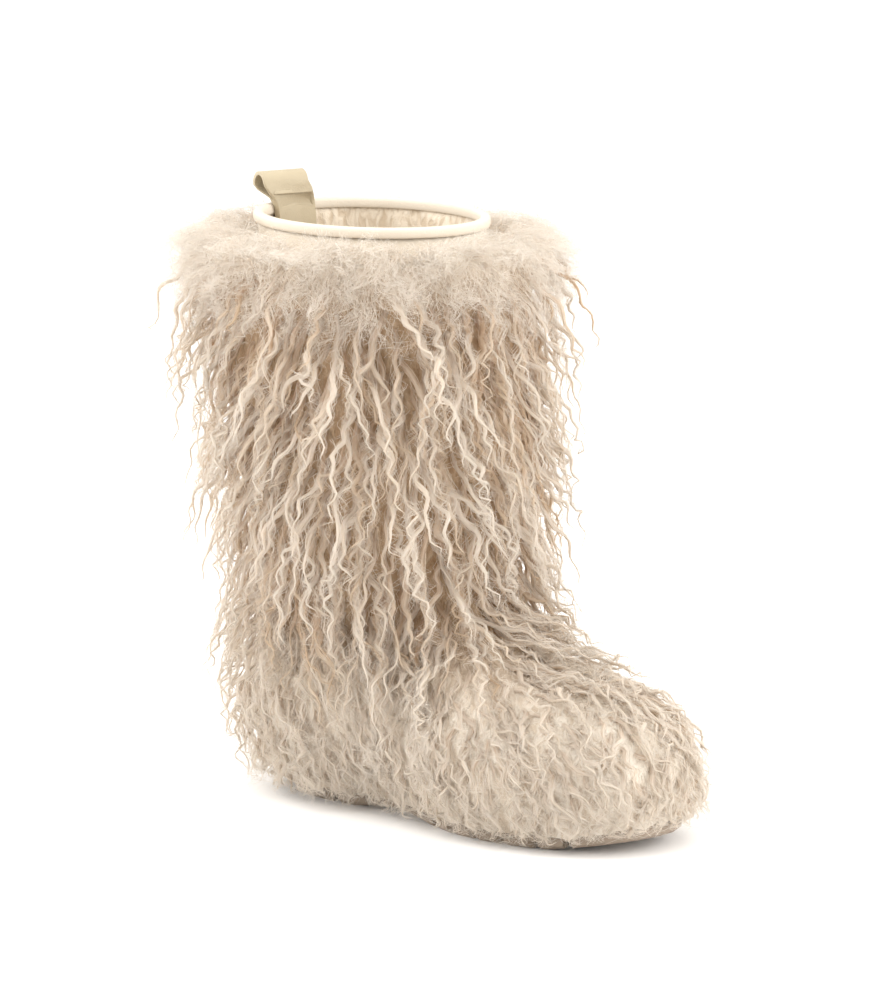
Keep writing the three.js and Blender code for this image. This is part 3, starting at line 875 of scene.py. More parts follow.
@dataclass
class Pelt:
    """The fleece of the whole boot: wool close to the hide and locks that hang from it."""

    seed: int = 7
    random: np.random.Generator = field(init=False)
    hide: BVHTree = field(init=False)  # of the upper
    tree: BVHTree = field(init=False)  # of the wool
    finish: FleeceFinish = field(default_factory=FleeceFinish)
    down: DownFinish = field(default_factory=DownFinish)
    winding: Winding = field(default_factory=Winding)
    body_shape: BodyShape = field(default_factory=BodyShape)
    strand_shape: StrandShape = field(default_factory=StrandShape)

    # The wool
    backing: float = 1.2 * MM  # faces of the upper this near to the fleece lie under it
    bare_strip: float = 11 * MM  # hide that shows below the binding
    small_hole: int = 8  # most edges of a hole that is filled
    cuts: int = 3
    hide_smoothing: int = 3
    least_depth: float = 6 * MM
    most_depth: float = 70 * MM
    depth_smoothing: int = 10
    smoothing: int = 6
    down_share: float = 0.5  # share of the fleece's depth that is wool
    foot_fill: float = 0.2  # how much more that is at the foot
    foot_filled: tuple[float, float] = (70 * MM, 115 * MM)
    collar_fill: float = 0.27  # and at the collar
    collar_filled: tuple[float, float] = (275 * MM, 320 * MM)
    tucked: float = 0.5  # share of its depth that the wool keeps at the sole
    tuck: tuple[float, float] = (6 * MM, 48 * MM)
    lump: float = 2.2 * MM  # height of the wool's lumps
    lumps: float = 58.0  # lumps for a metre
    rims_apart: float = 200 * MM  # the top rim is above this and the hem below
    # Share of the wool's depth, and height over the rim, of each ring that closes the top
    top_rings: tuple[tuple[float, float], ...] = ((0.72, 3 * MM), (0.4, 3 * MM), (0.06, -1 * MM))
    hem: float = 5 * MM  # height of the hem over the ends of locks
    hem_share: float = 0.6

    # Where locks grow
    waist: float = 110 * MM
    ruff_low: float = 312 * MM
    ruff_mix: float = 26 * MM
    bare_root: float = 6 * MM  # wool thinner than this has no locks
    tries: int = 6  # points tried for each square of the spacing
    apart: float = 0.84  # least distance between roots, over the spacing
    toe_from: float = 90 * MM

    # How locks fall
    steps: int = 24
    least_segments: int = 6
    tip_crowding: float = 0.88
    stiff: float = 0.62  # share of its heading that a lock keeps at each step
    most_room: float = 30 * MM
    root_level: float = 0.4  # how much of the wool's slope a root follows
    root_lean: float = 0.8
    lift_pace: float = 2.2
    push: float = 0.5
    shaft_push: float = 0.3
    ruff_fringe: float = 20 * MM
    ruff_flare: float = 1.0
    shaft_flare: float = 0.17
    parting: float = 0.22
    parting_way: tuple[float, float, float] = (0.7, 0.7, 0.0)
    foot_sweep: float = 0.45
    heel_hangs: tuple[float, float] = (-20 * MM, 70 * MM)  # X over which the sole starts to draw locks in
    drift: float = 0.1  # how far near locks turn aside together, in radians
    drift_paces: tuple[float, float, float, float] = (62.0, 41.0, 71.0, 53.0)
    drift_start: float = 1.3

    # Where locks end
    floor_gap: float = 2 * MM
    toe_lift: float = 9 * MM
    toe_lifts: tuple[float, float] = (190 * MM, 246 * MM)
    heel_lift: float = 4 * MM
    heel_lifts: tuple[float, float] = (35 * MM, 90 * MM)
    ragged: float = 2 * MM
    ragged_paces: tuple[float, float, float, float] = (690.0, 310.0, 270.0, 530.0)
    least_drop: float = 0.15  # least share of a lock's length that is used
    free_side: float = 3 * MM  # hair goes freely this far past the solids' sides
    most_side: float = 11 * MM  # and what goes further is drawn in to this

    styles: dict[Zone, LockStyle] = field(default_factory=lambda: {
        Zone.RUFF: LockStyle(
            spacing=5.0 * MM, lying=5, loose=9, length=(14 * MM, 42 * MM), girth=(2.0 * MM, 5.0 * MM),
            taper=0.2, wave=(12 * MM, 22 * MM), swing=(1.0 * MM, 2.6 * MM),
            lying_width=0.36 * MM, loose_width=0.28 * MM,
            rise=(0.3, 1.1), least=10 * MM, tone=0.93, depth_shade=0.03, mottle=0.03, bright=0.04, stray=36,
            segment=3.6 * MM, solid=False),
        Zone.SHAFT: LockStyle(
            spacing=9.0 * MM, lying=6, loose=4, length=(38 * MM, 92 * MM), girth=(0.8 * MM, 2.2 * MM),
            taper=0.8, wave=(16 * MM, 30 * MM), swing=(1.0 * MM, 2.6 * MM),
            lying_width=0.28 * MM, loose_width=0.34 * MM,
            rise=(0.15, 1.5), least=10 * MM, tone=0.75, depth_shade=0.27, mottle=0.09, bright=0.14, stray=11,
            segment=3.2 * MM),
        Zone.FOOT: LockStyle(
            spacing=8.0 * MM, lying=7, loose=3, length=(30 * MM, 62 * MM), girth=(0.6 * MM, 1.6 * MM),
            taper=0.8, wave=(16 * MM, 28 * MM), swing=(1.3 * MM, 3.0 * MM),
            lying_width=0.27 * MM, loose_width=0.32 * MM,
            rise=(0.3, 1.3), least=6 * MM, tone=0.93, depth_shade=0.07, mottle=0.05, bright=0.05, stray=17,
            segment=3.6 * MM),
    })

    def build(self) -> None:
        """Makes the wool and every lock."""
        self.random = np.random.default_rng(self.seed)
        self.hide = node_tree("upper")
        sheet = self._skin()
        self._thicken(sheet)
        self._sort_faces(sheet)
        self.tree = BVHTree.FromBMesh(sheet)
        roots = self._roots(sheet)
        material = self.down.material()
        add_piece("fleece_down", to_mesh(sheet), material, "fleece", "fleece_shaft", "fleece_foot")
        self._grow(roots)

    def _skin(self) -> bmesh.types.BMesh:
        """Copies the faces of the upper that the fleece lies on.

        Returns:
            The faces, cut finely.
        """
        skin = node_bmesh("upper")
        covered = node_tree("fleece_shaft", "fleece_foot")
        away = [
            face for face in skin.faces
            if covered.find_nearest(face.calc_center_median())[3] > self.backing
        ]
        bmesh.ops.delete(skin, geom=away, context="FACES")
        rims = [edge for edge in skin.edges if edge.is_boundary]
        bmesh.ops.holes_fill(skin, edges=rims, sides=self.small_hole)
        bmesh.ops.subdivide_edges(skin, edges=skin.edges[:], cuts=self.cuts, use_grid_fill=True)
        cut = skin.verts[:] + skin.edges[:] + skin.faces[:]
        top = (0, 0, self._ruff_level)
        bmesh.ops.bisect_plane(skin, geom=cut, plane_co=top, plane_no=(0, 0, 1), clear_outer=True)
        for _ in range(self.hide_smoothing):
            bmesh.ops.smooth_vert(skin, verts=skin.verts[:], factor=0.5, use_axis_x=True, use_axis_y=True)
        skin.normal_update()
        return skin

    def _thicken(self, skin: bmesh.types.BMesh) -> None:
        """Moves the skin out to the wool's surface and closes it at the collar and the hem.

        Args:
            skin: The faces of the hide, changed in place.
        """
        fleece = node_tree("fleece_shaft", "fleece_foot")
        deep = skin.verts.layers.float.new("deep")
        for vert in skin.verts:
            hit = fleece.ray_cast(vert.co + vert.normal * self.least_depth, vert.normal, self.most_depth)
            vert[deep] = self.least_depth + (hit[3] if hit[0] else 0.0)
        for _ in range(self.depth_smoothing):
            mean = [np.mean([edge.other_vert(vert)[deep] for edge in vert.link_edges]) for vert in skin.verts]
            for vert, value in zip(skin.verts, mean):
                vert[deep] = 0.5 * vert[deep] + 0.5 * value
        for vert in skin.verts:
            vert[deep] = vert[deep] * self._fill(vert.co.z) * self._tuck(vert.co.z)
        moved = [vert.co + vert.normal * vert[deep] for vert in skin.verts]
        for vert, place in zip(skin.verts, moved):
            vert.co = place
        inner = [vert for vert in skin.verts if not vert.is_boundary]
        for _ in range(self.smoothing):
            bmesh.ops.smooth_vert(skin, verts=inner, factor=0.5, use_axis_x=True, use_axis_y=True,
                                  use_axis_z=True)
        skin.normal_update()
        for vert in inner:
            vert.co += vert.normal * self.lump * noise.noise(vert.co * self.lumps)
        rims = [edge for edge in skin.edges if edge.is_boundary]
        high = [edge for edge in rims if edge.verts[0].co.z > self.rims_apart]
        low = [edge for edge in rims if edge.verts[0].co.z <= self.rims_apart]
        self._close_top(skin, high)
        self._drop_hem(skin, low)
        skin.normal_update()

    def _close_top(self, skin: bmesh.types.BMesh, rim: list[bmesh.types.BMEdge]) -> None:
        """Rounds the wool in from its top rim to the hide.

        Args:
            skin: The wool.
            rim: The edges of its top rim.
        """
        for share, lift in self.top_rings:
            made = bmesh.ops.extrude_edge_only(skin, edges=rim)["geom"]
            for vert in (item for item in made if isinstance(item, bmesh.types.BMVert)):
                near = self.hide.find_nearest(vert.co)[0]
                vert.co = near + (vert.co - near) * share
                vert.co.z = self._ruff_level + lift
            rim = [item for item in made if isinstance(item, bmesh.types.BMEdge)]

    @property
    def _ruff_level(self) -> float:
        """Height of the wool's top rim."""
        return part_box("collar_binding")[0].z - self.bare_strip

    def _drop_hem(self, skin: bmesh.types.BMesh, rim: list[bmesh.types.BMEdge]) -> None:
        """Lets the wool hang past the edge of the sole.

        Args:
            skin: The wool.
            rim: The edges of its lower rim.
        """
        made = bmesh.ops.extrude_edge_only(skin, edges=rim)["geom"]
        for vert in (item for item in made if isinstance(item, bmesh.types.BMVert)):
            near = self.hide.find_nearest(vert.co)[0]
            vert.co = near + (vert.co - near) * self.hem_share
            vert.co.z = self.hem + float(self._trim(np.array(vert.co)))

    @staticmethod
    def _sort_faces(sheet: bmesh.types.BMesh) -> None:
        """Puts the faces in order of their places, because extruding adds faces in no fixed order.

        Args:
            sheet: The wool, changed in place.
        """
        ordered = sorted(sheet.faces, key=lambda face: face.calc_center_median()[:])
        for rank, face in enumerate(ordered):
            face.index = rank
        sheet.faces.sort()
        sheet.verts.index_update()

    def _roots(self, sheet: bmesh.types.BMesh) -> dict[Zone, np.ndarray]:
        """Scatters roots evenly over the wool.

        Args:
            sheet: The wool.

        Returns:
            Root points for each zone.
        """
        faces = sheet.faces[:]
        middles = [face.calc_center_median() for face in faces]
        zones = [self._zone(middle) for middle in middles]
        bare = np.array([self.hide.find_nearest(middle)[3] < self.bare_root for middle in middles])
        areas = np.where(bare, 0.0, [face.calc_area() for face in faces])
        found = {}
        for zone, style in self.styles.items():
            weight = areas * np.array([other is zone for other in zones])
            tries = int(self.tries * weight.sum() / style.spacing**2)
            picked = self.random.choice(len(faces), tries, p=weight / weight.sum())
            found[zone] = self._apart([self._inside(faces[k]) for k in picked], style.spacing * self.apart)
            LOG.info("%s: %d locks", zone.value, len(found[zone]))
        return found

    def _zone(self, point: Vector) -> Zone:
        """Picks the zone for a face of the wool; zones mix where they meet."""
        if point.z > self.ruff_low + self.random.uniform(-1, 0) * self.ruff_mix:
            return Zone.RUFF
        return Zone.SHAFT if point.z > self.waist else Zone.FOOT

    def _inside(self, face: bmesh.types.BMFace) -> np.ndarray:
        """Picks a random point of a face.

        Args:
            face: The face.

        Returns:
            The point.
        """
        shares = self.random.dirichlet(np.ones(len(face.verts)))
        corners = sorted(face.verts, key=lambda vert: vert.index)
        return sum(share * np.array(vert.co) for share, vert in zip(shares, corners))

    @staticmethod
    def _apart(points: list[np.ndarray], room: float) -> np.ndarray:
        """Keeps points that lie apart from those kept before them.

        Args:
            points: The points, in random order.
            room: The least distance between two.

        Returns:
            The points that are kept.
        """
        cells: dict[tuple[int, int, int], list[np.ndarray]] = {}
        kept = []
        for point in points:
            home = tuple(int(value) for value in np.floor(point / room))
            around = [
                other
                for i in (-1, 0, 1) for j in (-1, 0, 1) for k in (-1, 0, 1)
                for other in cells.get((home[0] + i, home[1] + j, home[2] + k), ())
            ]
            if all(np.sum((other - point) ** 2) > room * room for other in around):
                cells.setdefault(home, []).append(point)
                kept.append(point)
        return np.array(kept)

    def _grow(self, roots: dict[Zone, np.ndarray]) -> None:
        """Grows locks from their roots and joins them into pieces.

        Args:
            roots: Root points for each zone.
        """
        material = self.finish.material()
        for zone, style in self.styles.items():
            node = "fleece_foot" if zone is Zone.FOOT else "fleece_shaft"
            bodies, strands = self._locks(roots[zone], style)
            if style.solid:
                for name, chosen in self._shares(zone, bodies.root).items():
                    add_piece(f"{name}_locks", bodies.pick(chosen).mesh(), material, "fleece", node)
            for name, chosen in self._shares(zone, strands.root).items():
                add_piece(f"{name}_hair", strands.pick(chosen).mesh(), material, "fleece", node)

    def _shares(self, zone: Zone, root: np.ndarray) -> dict[str, np.ndarray]:
        """Splits what grows in a zone into pieces of a fair size.

        Args:
            zone: The zone.
            root: The roots.

        Returns:
            For each piece's name, which of the roots are in it.
        """
        if zone is Zone.RUFF:
            return {"ruff": np.full(len(root), True)}
        if zone is Zone.FOOT:
            front = root[:, 0] > self.toe_from
            return {"toe": front, "heel": ~front}
        turn = np.arctan2(root[:, 1], root[:, 0] - SHAFT_AXIS)
        quarter = np.floor(turn / (math.pi / 2) + 0.5).astype(int) % 4
        return {f"shaft_{name}": quarter == k for k, name in enumerate(("front", "inner", "back", "outer"))}

    def _locks(self, roots: np.ndarray, style: LockStyle) -> "tuple[Tubes, Ribbons]":
        """Grows a zone's locks.

        Args:
            roots: The locks' root points.
            style: How they grow.

        Returns:
            The locks' bodies and their strands.
        """
        length = self.random.uniform(*style.length, len(roots))
        fall = self._fall(roots, length, style)
        length = length * fall.drop
        curls = Curls.draw(self.random, style, length, fall.rise)
        segments = max(self.least_segments, int(round(np.mean(length) / style.segment)))
        share = np.linspace(0, 1, segments + 1) ** self.tip_crowding
        return self._bodies(fall, curls, style, share), self._strands(fall, curls, style, share)

    def _fall(self, roots: np.ndarray, length: np.ndarray, style: LockStyle) -> Fall:
        """Lets each lock fall from its root, lying on the wool or hanging free of it.

        Args:
            roots: The locks' root points.
            length: The locks' lengths.
            style: How they grow.

        Returns:
            The locks' middle lines.
        """
        steps = self.steps
        path = np.zeros((len(roots), steps + 1, 3))
        out = np.zeros_like(path)
        veer = np.radians(self.random.normal(0, style.stray, len(roots)))
        rise = self.random.uniform(*style.rise, len(roots))
        for k, root in enumerate(roots):
            here = Vector(root)
            near, normal, _, _ = self.tree.find_nearest(here)
            room = self._room(near, style) * rise[k]
            level = Vector((normal.x, normal.y, self.root_level * normal.z))
            heading = (level + self._flow(near, normal, veer[k]) * self.root_lean).normalized()
            for i in range(steps + 1):
                path[k, i] = here
                out[k, i] = normal
                aim = self._flow(here, normal, veer[k])
                heading = (heading * self.stiff + aim * (1 - self.stiff)).normalized()
                here = here + heading * (length[k] / steps)
                near, normal, _, _ = self.tree.find_nearest(here)
                stand = room * min(1.0, self.lift_pace * (i + 1) / steps)
                height = (here - near).dot(normal)
                if height < stand:
                    steep = self.shaft_push if near.z > self.waist else 1.0
                    push = Vector((normal.x, normal.y, normal.z * steep))
                    here = here + push * (stand - height) * self.push
        low, high = style.rise
        return Fall(path, out, 2 * (rise - low) / (high - low) - 1, self._clear_floor(path))

    def _room(self, near: Vector, style: LockStyle) -> float:
        """Gives the depth of fleece left outside the wool at a point of it."""
        hide = self.hide.find_nearest(near)[3]
        return min(max(hide * (1 / self._fill(near.z) - 1), style.least), self.most_room)

    def _fill(self, level: float) -> float:
        """Gives the share of the fleece's depth that is wool at a height: more at the foot and collar.

        Args:
            level: The height.

        Returns:
            The share.
        """
        foot_low, foot_high = self.foot_filled
        foot = float(smooth(np.array(-level), -foot_high, -foot_low))
        collar = float(smooth(np.array(level), *self.collar_filled))
        return self.down_share + self.foot_fill * foot + self.collar_fill * collar

    def _tuck(self, level: float) -> float:
        """Gives the share of its depth that the wool keeps at a height; it tucks in to the sole."""
        return self.tucked + (1 - self.tucked) * float(smooth(np.array(level), *self.tuck))

    def _flow(self, here: Vector, outward: Vector, veer: float) -> Vector:
        """Gives the way that a lock falls: along the wool where that is in the way, and else straight down.

        Args:
            here: The point.
            outward: The outward direction there.
            veer: How far this lock turns aside, in radians.

        Returns:
            The direction.
        """
        pull = Vector((0, 0, -1))
        away = Vector((here.x - SHAFT_AXIS, here.y, 0)).normalized()
        if here.z > self.ruff_low - self.ruff_fringe:
            pull = pull + away * self.ruff_flare
        elif here.z < self.waist:
            pull = pull + Vector((self.foot_sweep, 0, 0))
            inward = self.hide.find_nearest(here)[0] - here
            inward.z = 0
            drawn = (1 - self._tuck(here.z)) * float(smooth(np.array(here.x), *self.heel_hangs))
            pull = pull + inward.normalized() * drawn
        else:
            around = Vector((-away.y, away.x, 0))
            pull = pull + away * self.shaft_flare + around * self.parting * away.dot(Vector(self.parting_way))
        x_pace, first_z_pace, y_pace, second_z_pace = self.drift_paces
        drift = math.sin(here.x * x_pace + here.z * first_z_pace)
        drift += math.sin(here.y * y_pace - here.z * second_z_pace + self.drift_start)
        along = pull - outward * min(0.0, pull.dot(outward))
        side = outward.cross(along)
        turn = veer + self.drift * drift
        return (along * math.cos(turn) + side * math.sin(turn)).normalized()

    def _trim(self, points: np.ndarray) -> np.ndarray:
        """Gives the height where locks end: near the floor, and higher round the toe and heel.

        Args:
            points: Places of locks.

        Returns:
            The height below which there is no hair, for each place.
        """
        x, y = points[..., 0], points[..., 1]
        toe = smooth(x, *self.toe_lifts) * self.toe_lift
        heel = smooth(-x, *self.heel_lifts) * self.heel_lift
        first_x, first_y, second_x, second_y = self.ragged_paces
        ragged = self.ragged * (1 + np.sin(first_x * x + first_y * y) * np.sin(second_x * x - second_y * y))
        return self.floor_gap + toe + heel + ragged

    def _keep(self, points: np.ndarray) -> None:
        """Keeps hair off the floor and draws in what strays far to either side.

        Args:
            points: Points of hair, changed in place.
        """
        points[..., 2] = np.maximum(points[..., 2], self._trim(points))
        near = CAD_BOX[1].y + self.free_side
        over = np.maximum(np.abs(points[..., 1]) - near, 0.0)
        points[..., 1] -= np.sign(points[..., 1]) * (over - self.most_side * np.tanh(over / self.most_side))

    def _clear_floor(self, path: np.ndarray) -> np.ndarray:
        """Tells how much of each lock's length lies above the floor.

        Args:
            path: The locks' middle lines.

        Returns:
            A share from 0 to 1 for each lock.
        """
        under = path[:, :, 2] < self._trim(path)
        first = np.where(under.any(axis=1), under.argmax(axis=1), path.shape[1])
        return np.clip((first - 1) / (path.shape[1] - 1), self.least_drop, 1.0)

    def _bodies(self, fall: Fall, curls: Curls, style: LockStyle, share: np.ndarray) -> "Tubes":
        """Makes the soft body of each lock.

        Args:
            fall: The locks' middle lines.
            curls: How the locks wind.
            style: How they grow.
            share: Places along the locks, from 0 to 1.

        Returns:
            The bodies.
        """
        shape = self.body_shape
        count = len(fall.path)
        lock = np.arange(count)
        middle, side, outward = fall.follow(lock, np.full(count, shape.reach), share)
        to_side, to_out = self.winding.wind(self.random, curls, lock, share, np.zeros(count))
        centre = middle + side * to_side[:, :, None] + outward * to_out[:, :, None]
        side, outward = frames(centre, outward)
        angle = np.linspace(0, 2 * math.pi, shape.sides, endpoint=False)[None, None, :, None]
        pace = curls.slow[:, None] * shape.lump_start + shape.lump_pace * curls.turns[:, None] * share
        lump = 1 + shape.lumps * np.sin(pace)
        tip = 1 - shape.tip_loss * smooth(share, shape.tip_from, 1.0)
        radius = (curls.girth[:, None] * shape.girth(style, share) * lump * tip)[:, :, None, None]
        around = side[:, :, None, :] * np.cos(angle) + shape.flat * outward[:, :, None, :] * np.sin(angle)
        points = centre[:, :, None, :] + around * radius
        self._keep(points)
        mottle = self.random.normal(0, shape.tone_mottle, (count, shape.sides))
        # Painted shade: each body is paler on its outer side and darker on its inner side.
        shift = shape.round_shade * np.sin(angle[0, 0, :, 0]) + mottle
        tone = np.clip(curls.tone, *shape.tones)[:, None]
        return Tubes(points, tone + shape.tone_most * np.tanh(shift / shape.tone_most))

    def _strands(self, fall: Fall, curls: Curls, style: LockStyle, share: np.ndarray) -> "Ribbons":
        """Lays wavy strands on and round each lock.

        Args:
            fall: The locks' middle lines.
            curls: How the locks wind.
            style: How they grow.
            share: Places along the strands, from 0 to 1.

        Returns:
            The strands.
        """
        shape = self.strand_shape
        rng = self.random
        each = style.lying + style.loose
        count = len(fall.path) * each
        lock = np.repeat(np.arange(len(fall.path)), each)
        loose = np.arange(count) % each >= style.lying
        middle, side, outward = fall.follow(lock, rng.uniform(*shape.reach, count), share)
        wave_side, wave_out = self.winding.wind(rng, curls, lock, share, np.where(loose, 1.0, shape.free))
        angle = rng.uniform(0, 2 * math.pi, count)
        loose_spread = rng.uniform(*shape.loose_spread, count)
        wide = curls.girth[lock] * np.where(loose, loose_spread, rng.uniform(*shape.spread, count))
        radius = wide[:, None] * (shape.core + (1 - shape.core) * self.body_shape.girth(style, share))
        to_side = np.cos(angle)
        to_out = np.abs(np.sin(angle))
        points = (
            middle
            + side * (to_side[:, None] * radius + wave_side)[:, :, None]
            + outward * (shape.flat * to_out[:, None] * radius + wave_out)[:, :, None]
        )
        self._keep(points)
        tilt = shape.tilt * to_side + rng.normal(0, np.where(loose, shape.loose_sway, shape.sway))
        face = outward * np.cos(tilt)[:, None, None] + side * np.sin(tilt)[:, None, None]
        run = unit(np.gradient(points, axis=1))
        breadth = unit(np.cross(run, face))
        width = np.where(loose, style.loose_width, style.lying_width) * rng.uniform(*shape.widths, count)
        paler = np.where(loose, style.bright, shape.paler)
        tone = curls.tone[lock] + rng.normal(0, shape.tone_mottle, count) + paler
        half = breadth * (width[:, None] / 2 * (1 - shape.thinning * share**shape.thin_late))[:, :, None]
        facing = unit(outward + shape.facing * face)
        return Ribbons(points - half, points + half, facing, np.clip(tone, *shape.tones))


def frames(line: np.ndarray, outward: np.ndarray) -> tuple[np.ndarray, np.ndarray]:
    """Gives directions square to lines.

    Args:
        line: The points of each line.
        outward: Roughly the outward direction at each point.

    Returns:
        The directions to the side and outwards.
    """
    ahead = unit(np.gradient(line, axis=1))
    side = unit(np.cross(outward, ahead))
    return side, np.cross(ahead, side)


def strand_mesh(corners: np.ndarray, faces: np.ndarray, places: np.ndarray) -> bpy.types.Mesh:
    """Makes one mesh of four-sided faces with a map.

    Args:
        corners: The points.
        faces: Four point numbers for each face.
        places: Each point's tone and length along its strand.

    Returns:
        The mesh.
    """
    mesh = bpy.data.meshes.new("strands")
    mesh.vertices.add(len(corners))
    mesh.vertices.foreach_set("co", corners.astype(np.float32).ravel())
    mesh.loops.add(faces.size)
    mesh.loops.foreach_set("vertex_index", faces.astype(np.int32).ravel())
    mesh.polygons.add(len(faces))
    mesh.polygons.foreach_set("loop_start", np.arange(0, faces.size, 4, dtype=np.int32))
    mesh.update(calc_edges=True)
    mesh.shade_smooth()
    layer = mesh.uv_layers.new(name=STRAND_MAP)
    layer.data.foreach_set("uv", places[faces.ravel()].astype(np.float32).ravel())
    return mesh


@dataclass
class Tubes:
    """Soft bodies of locks: rings of points along each, and the tone of each column of points."""

    rings: np.ndarray
    tone: np.ndarray

    @property
    def root(self) -> np.ndarray:
        """Gives each lock's root."""
        return self.rings[:, 0, 0]

    def pick(self, chosen: np.ndarray) -> "Tubes":
        """Keeps the chosen locks."""
        return Tubes(self.rings[chosen], self.tone[chosen])

    def mesh(self) -> bpy.types.Mesh:
        """Joins the bodies into one mesh, each drawn in nearly to a point at its tip.

        Returns:
            The mesh.
        """
        count, rows, sides, _ = self.rings.shape
        ring = (np.arange(count)[:, None] * rows + np.arange(rows - 1)[None, :]).ravel()[:, None] * sides
        column = np.arange(sides)[None, :]
        after = (column + 1) % sides
        faces = np.stack([ring + column, ring + after, ring + sides + after, ring + sides + column], axis=2)
        across = np.repeat(self.tone[:, None, :], rows, axis=1).ravel()
        along = np.repeat(np.tile(np.linspace(*STRAND_ENDS, rows), count), sides)
        return strand_mesh(self.rings.reshape(-1, 3), faces.reshape(-1, 4), np.stack([across, along], axis=1))


@dataclass
class Ribbons:
    """Flat strands: the two edges of each, the way that each faces, and its tone."""

    left: np.ndarray
    right: np.ndarray
    facing: np.ndarray
    tone: np.ndarray
    tone_width: float = 0.012

    @property
    def root(self) -> np.ndarray:
        """Gives each strand's root."""
        return self.left[:, 0]

    def pick(self, chosen: np.ndarray) -> "Ribbons":
        """Keeps the chosen strands."""
        return Ribbons(self.left[chosen], self.right[chosen], self.facing[chosen], self.tone[chosen])

    def mesh(self) -> bpy.types.Mesh:
        """Joins the strands into one mesh that is shaded as softly as the fleece below it.

        Returns:
            The mesh.
        """
        count, rows, _ = self.left.shape
        corners = np.stack([self.left, self.right], axis=2).reshape(-1, 3)
        first = (np.arange(count)[:, None] * rows + np.arange(rows - 1)[None, :]).ravel() * 2
        faces = np.stack([first, first + 1, first + 3, first + 2], axis=1)
        tone = np.stack([self.tone - self.tone_width, self.tone + self.tone_width], axis=1)
        across = np.repeat(tone[:, None, :], rows, axis=1).ravel()
        along = np.repeat(np.tile(np.linspace(*STRAND_ENDS, rows), count), 2)
        mesh = strand_mesh(corners, faces, np.stack([across, along], axis=1))
        mesh.normals_split_custom_set_from_vertices(np.repeat(self.facing.reshape(-1, 3), 2, axis=0))
        return mesh


@dataclass
class Collar:
    """The bound edge, the hide below it and the lining inside."""

    finish: LeatherFinish = LeatherFinish(
        "binding_leather", rgb(0.70, 0.63, 0.53), rgb(0.64, 0.57, 0.475), 0.5)
    hide: LeatherFinish = LeatherFinish("hide_leather", rgb(0.74, 0.665, 0.56), rgb(0.67, 0.60, 0.50), 0.65)
    lining: LiningFinish = field(default_factory=LiningFinish)
    roll_levels: int = 2
    hide_levels: int = 1
    wall: float = 2.2 * MM
    cuts: int = 3
    smoothing: int = 2
    lift: float = 0.7 * MM
    crease: float = 2.4 * MM
    creased_from: float = 285 * MM
    creased_over: float = 30 * MM
    fade: tuple[float, float] = (7 * MM, 1 * MM)  # how far below the top creases start to fade and are gone
    fold_pace: float = 0.55  # radians for a millimetre of height
    # What bends the creases: its size and start in radians, with its waves round the shaft between them
    sways: tuple[tuple[float, int, float], ...] = ((2.2, 5, 0.0), (1.2, 11, 1.0))

    def build(self) -> None:
        """Makes the binding, the hide and the lining."""
        binding = to_mesh(node_bmesh("collar_binding"))
        roll = add_piece("collar_roll", binding, self.finish.material(), "binding", "collar_binding")
        add_subdivision(roll, self.roll_levels)
        hide = add_piece("upper_hide", to_mesh(node_bmesh("upper")), self.hide.material(), "hide", "upper")
        add_subdivision(hide, self.hide_levels)
        add_piece("lining", to_mesh(self._lining()), self.lining.material(), "felt")

    def _lining(self) -> bmesh.types.BMesh:
        """Copies the inside of the upper and creases it below the collar.

        Returns:
            The lining.
        """
        cloth = node_bmesh("upper")
        fleece = node_tree("fleece_shaft", "fleece_foot", "collar_binding", "outsole")
        outer = [
            face for face in cloth.faces
            if fleece.find_nearest(face.calc_center_median())[3] < self.wall
        ]
        bmesh.ops.delete(cloth, geom=outer, context="FACES")
        bmesh.ops.subdivide_edges(cloth, edges=cloth.edges[:], cuts=self.cuts, use_grid_fill=True)
        for _ in range(self.smoothing):
            bmesh.ops.smooth_vert(cloth, verts=cloth.verts[:], factor=0.5, use_axis_x=True, use_axis_y=True,
                                  use_axis_z=True)
        cloth.normal_update()
        top = max(vert.co.z for vert in cloth.verts)
        for vert in cloth.verts:
            height = self._crease(vert.co, top)
            if vert.co.z < top - self.fade[1]:
                height += self.lift
            vert.co += vert.normal * height
        return cloth

    def _crease(self, place: Vector, top: float) -> float:
        """Gives the height of the creases at a place, which start below the collar and end short of the top.

        Args:
            place: The place on the lining.
            top: The height of the lining's top.

        Returns:
            The height.
        """
        turn = math.atan2(place.y, place.x - SHAFT_AXIS)
        phase = place.z / MM * self.fold_pace
        for size, waves, start in self.sways:
            phase += size * math.sin(waves * turn + start)
        level = np.array(place.z)
        shown = smooth(level, self.creased_from, self.creased_from + self.creased_over)
        shown = shown * (1 - smooth(level, top - self.fade[0], top - self.fade[1]))
        return self.crease * float(shown) * (0.5 + 0.5 * math.sin(phase))


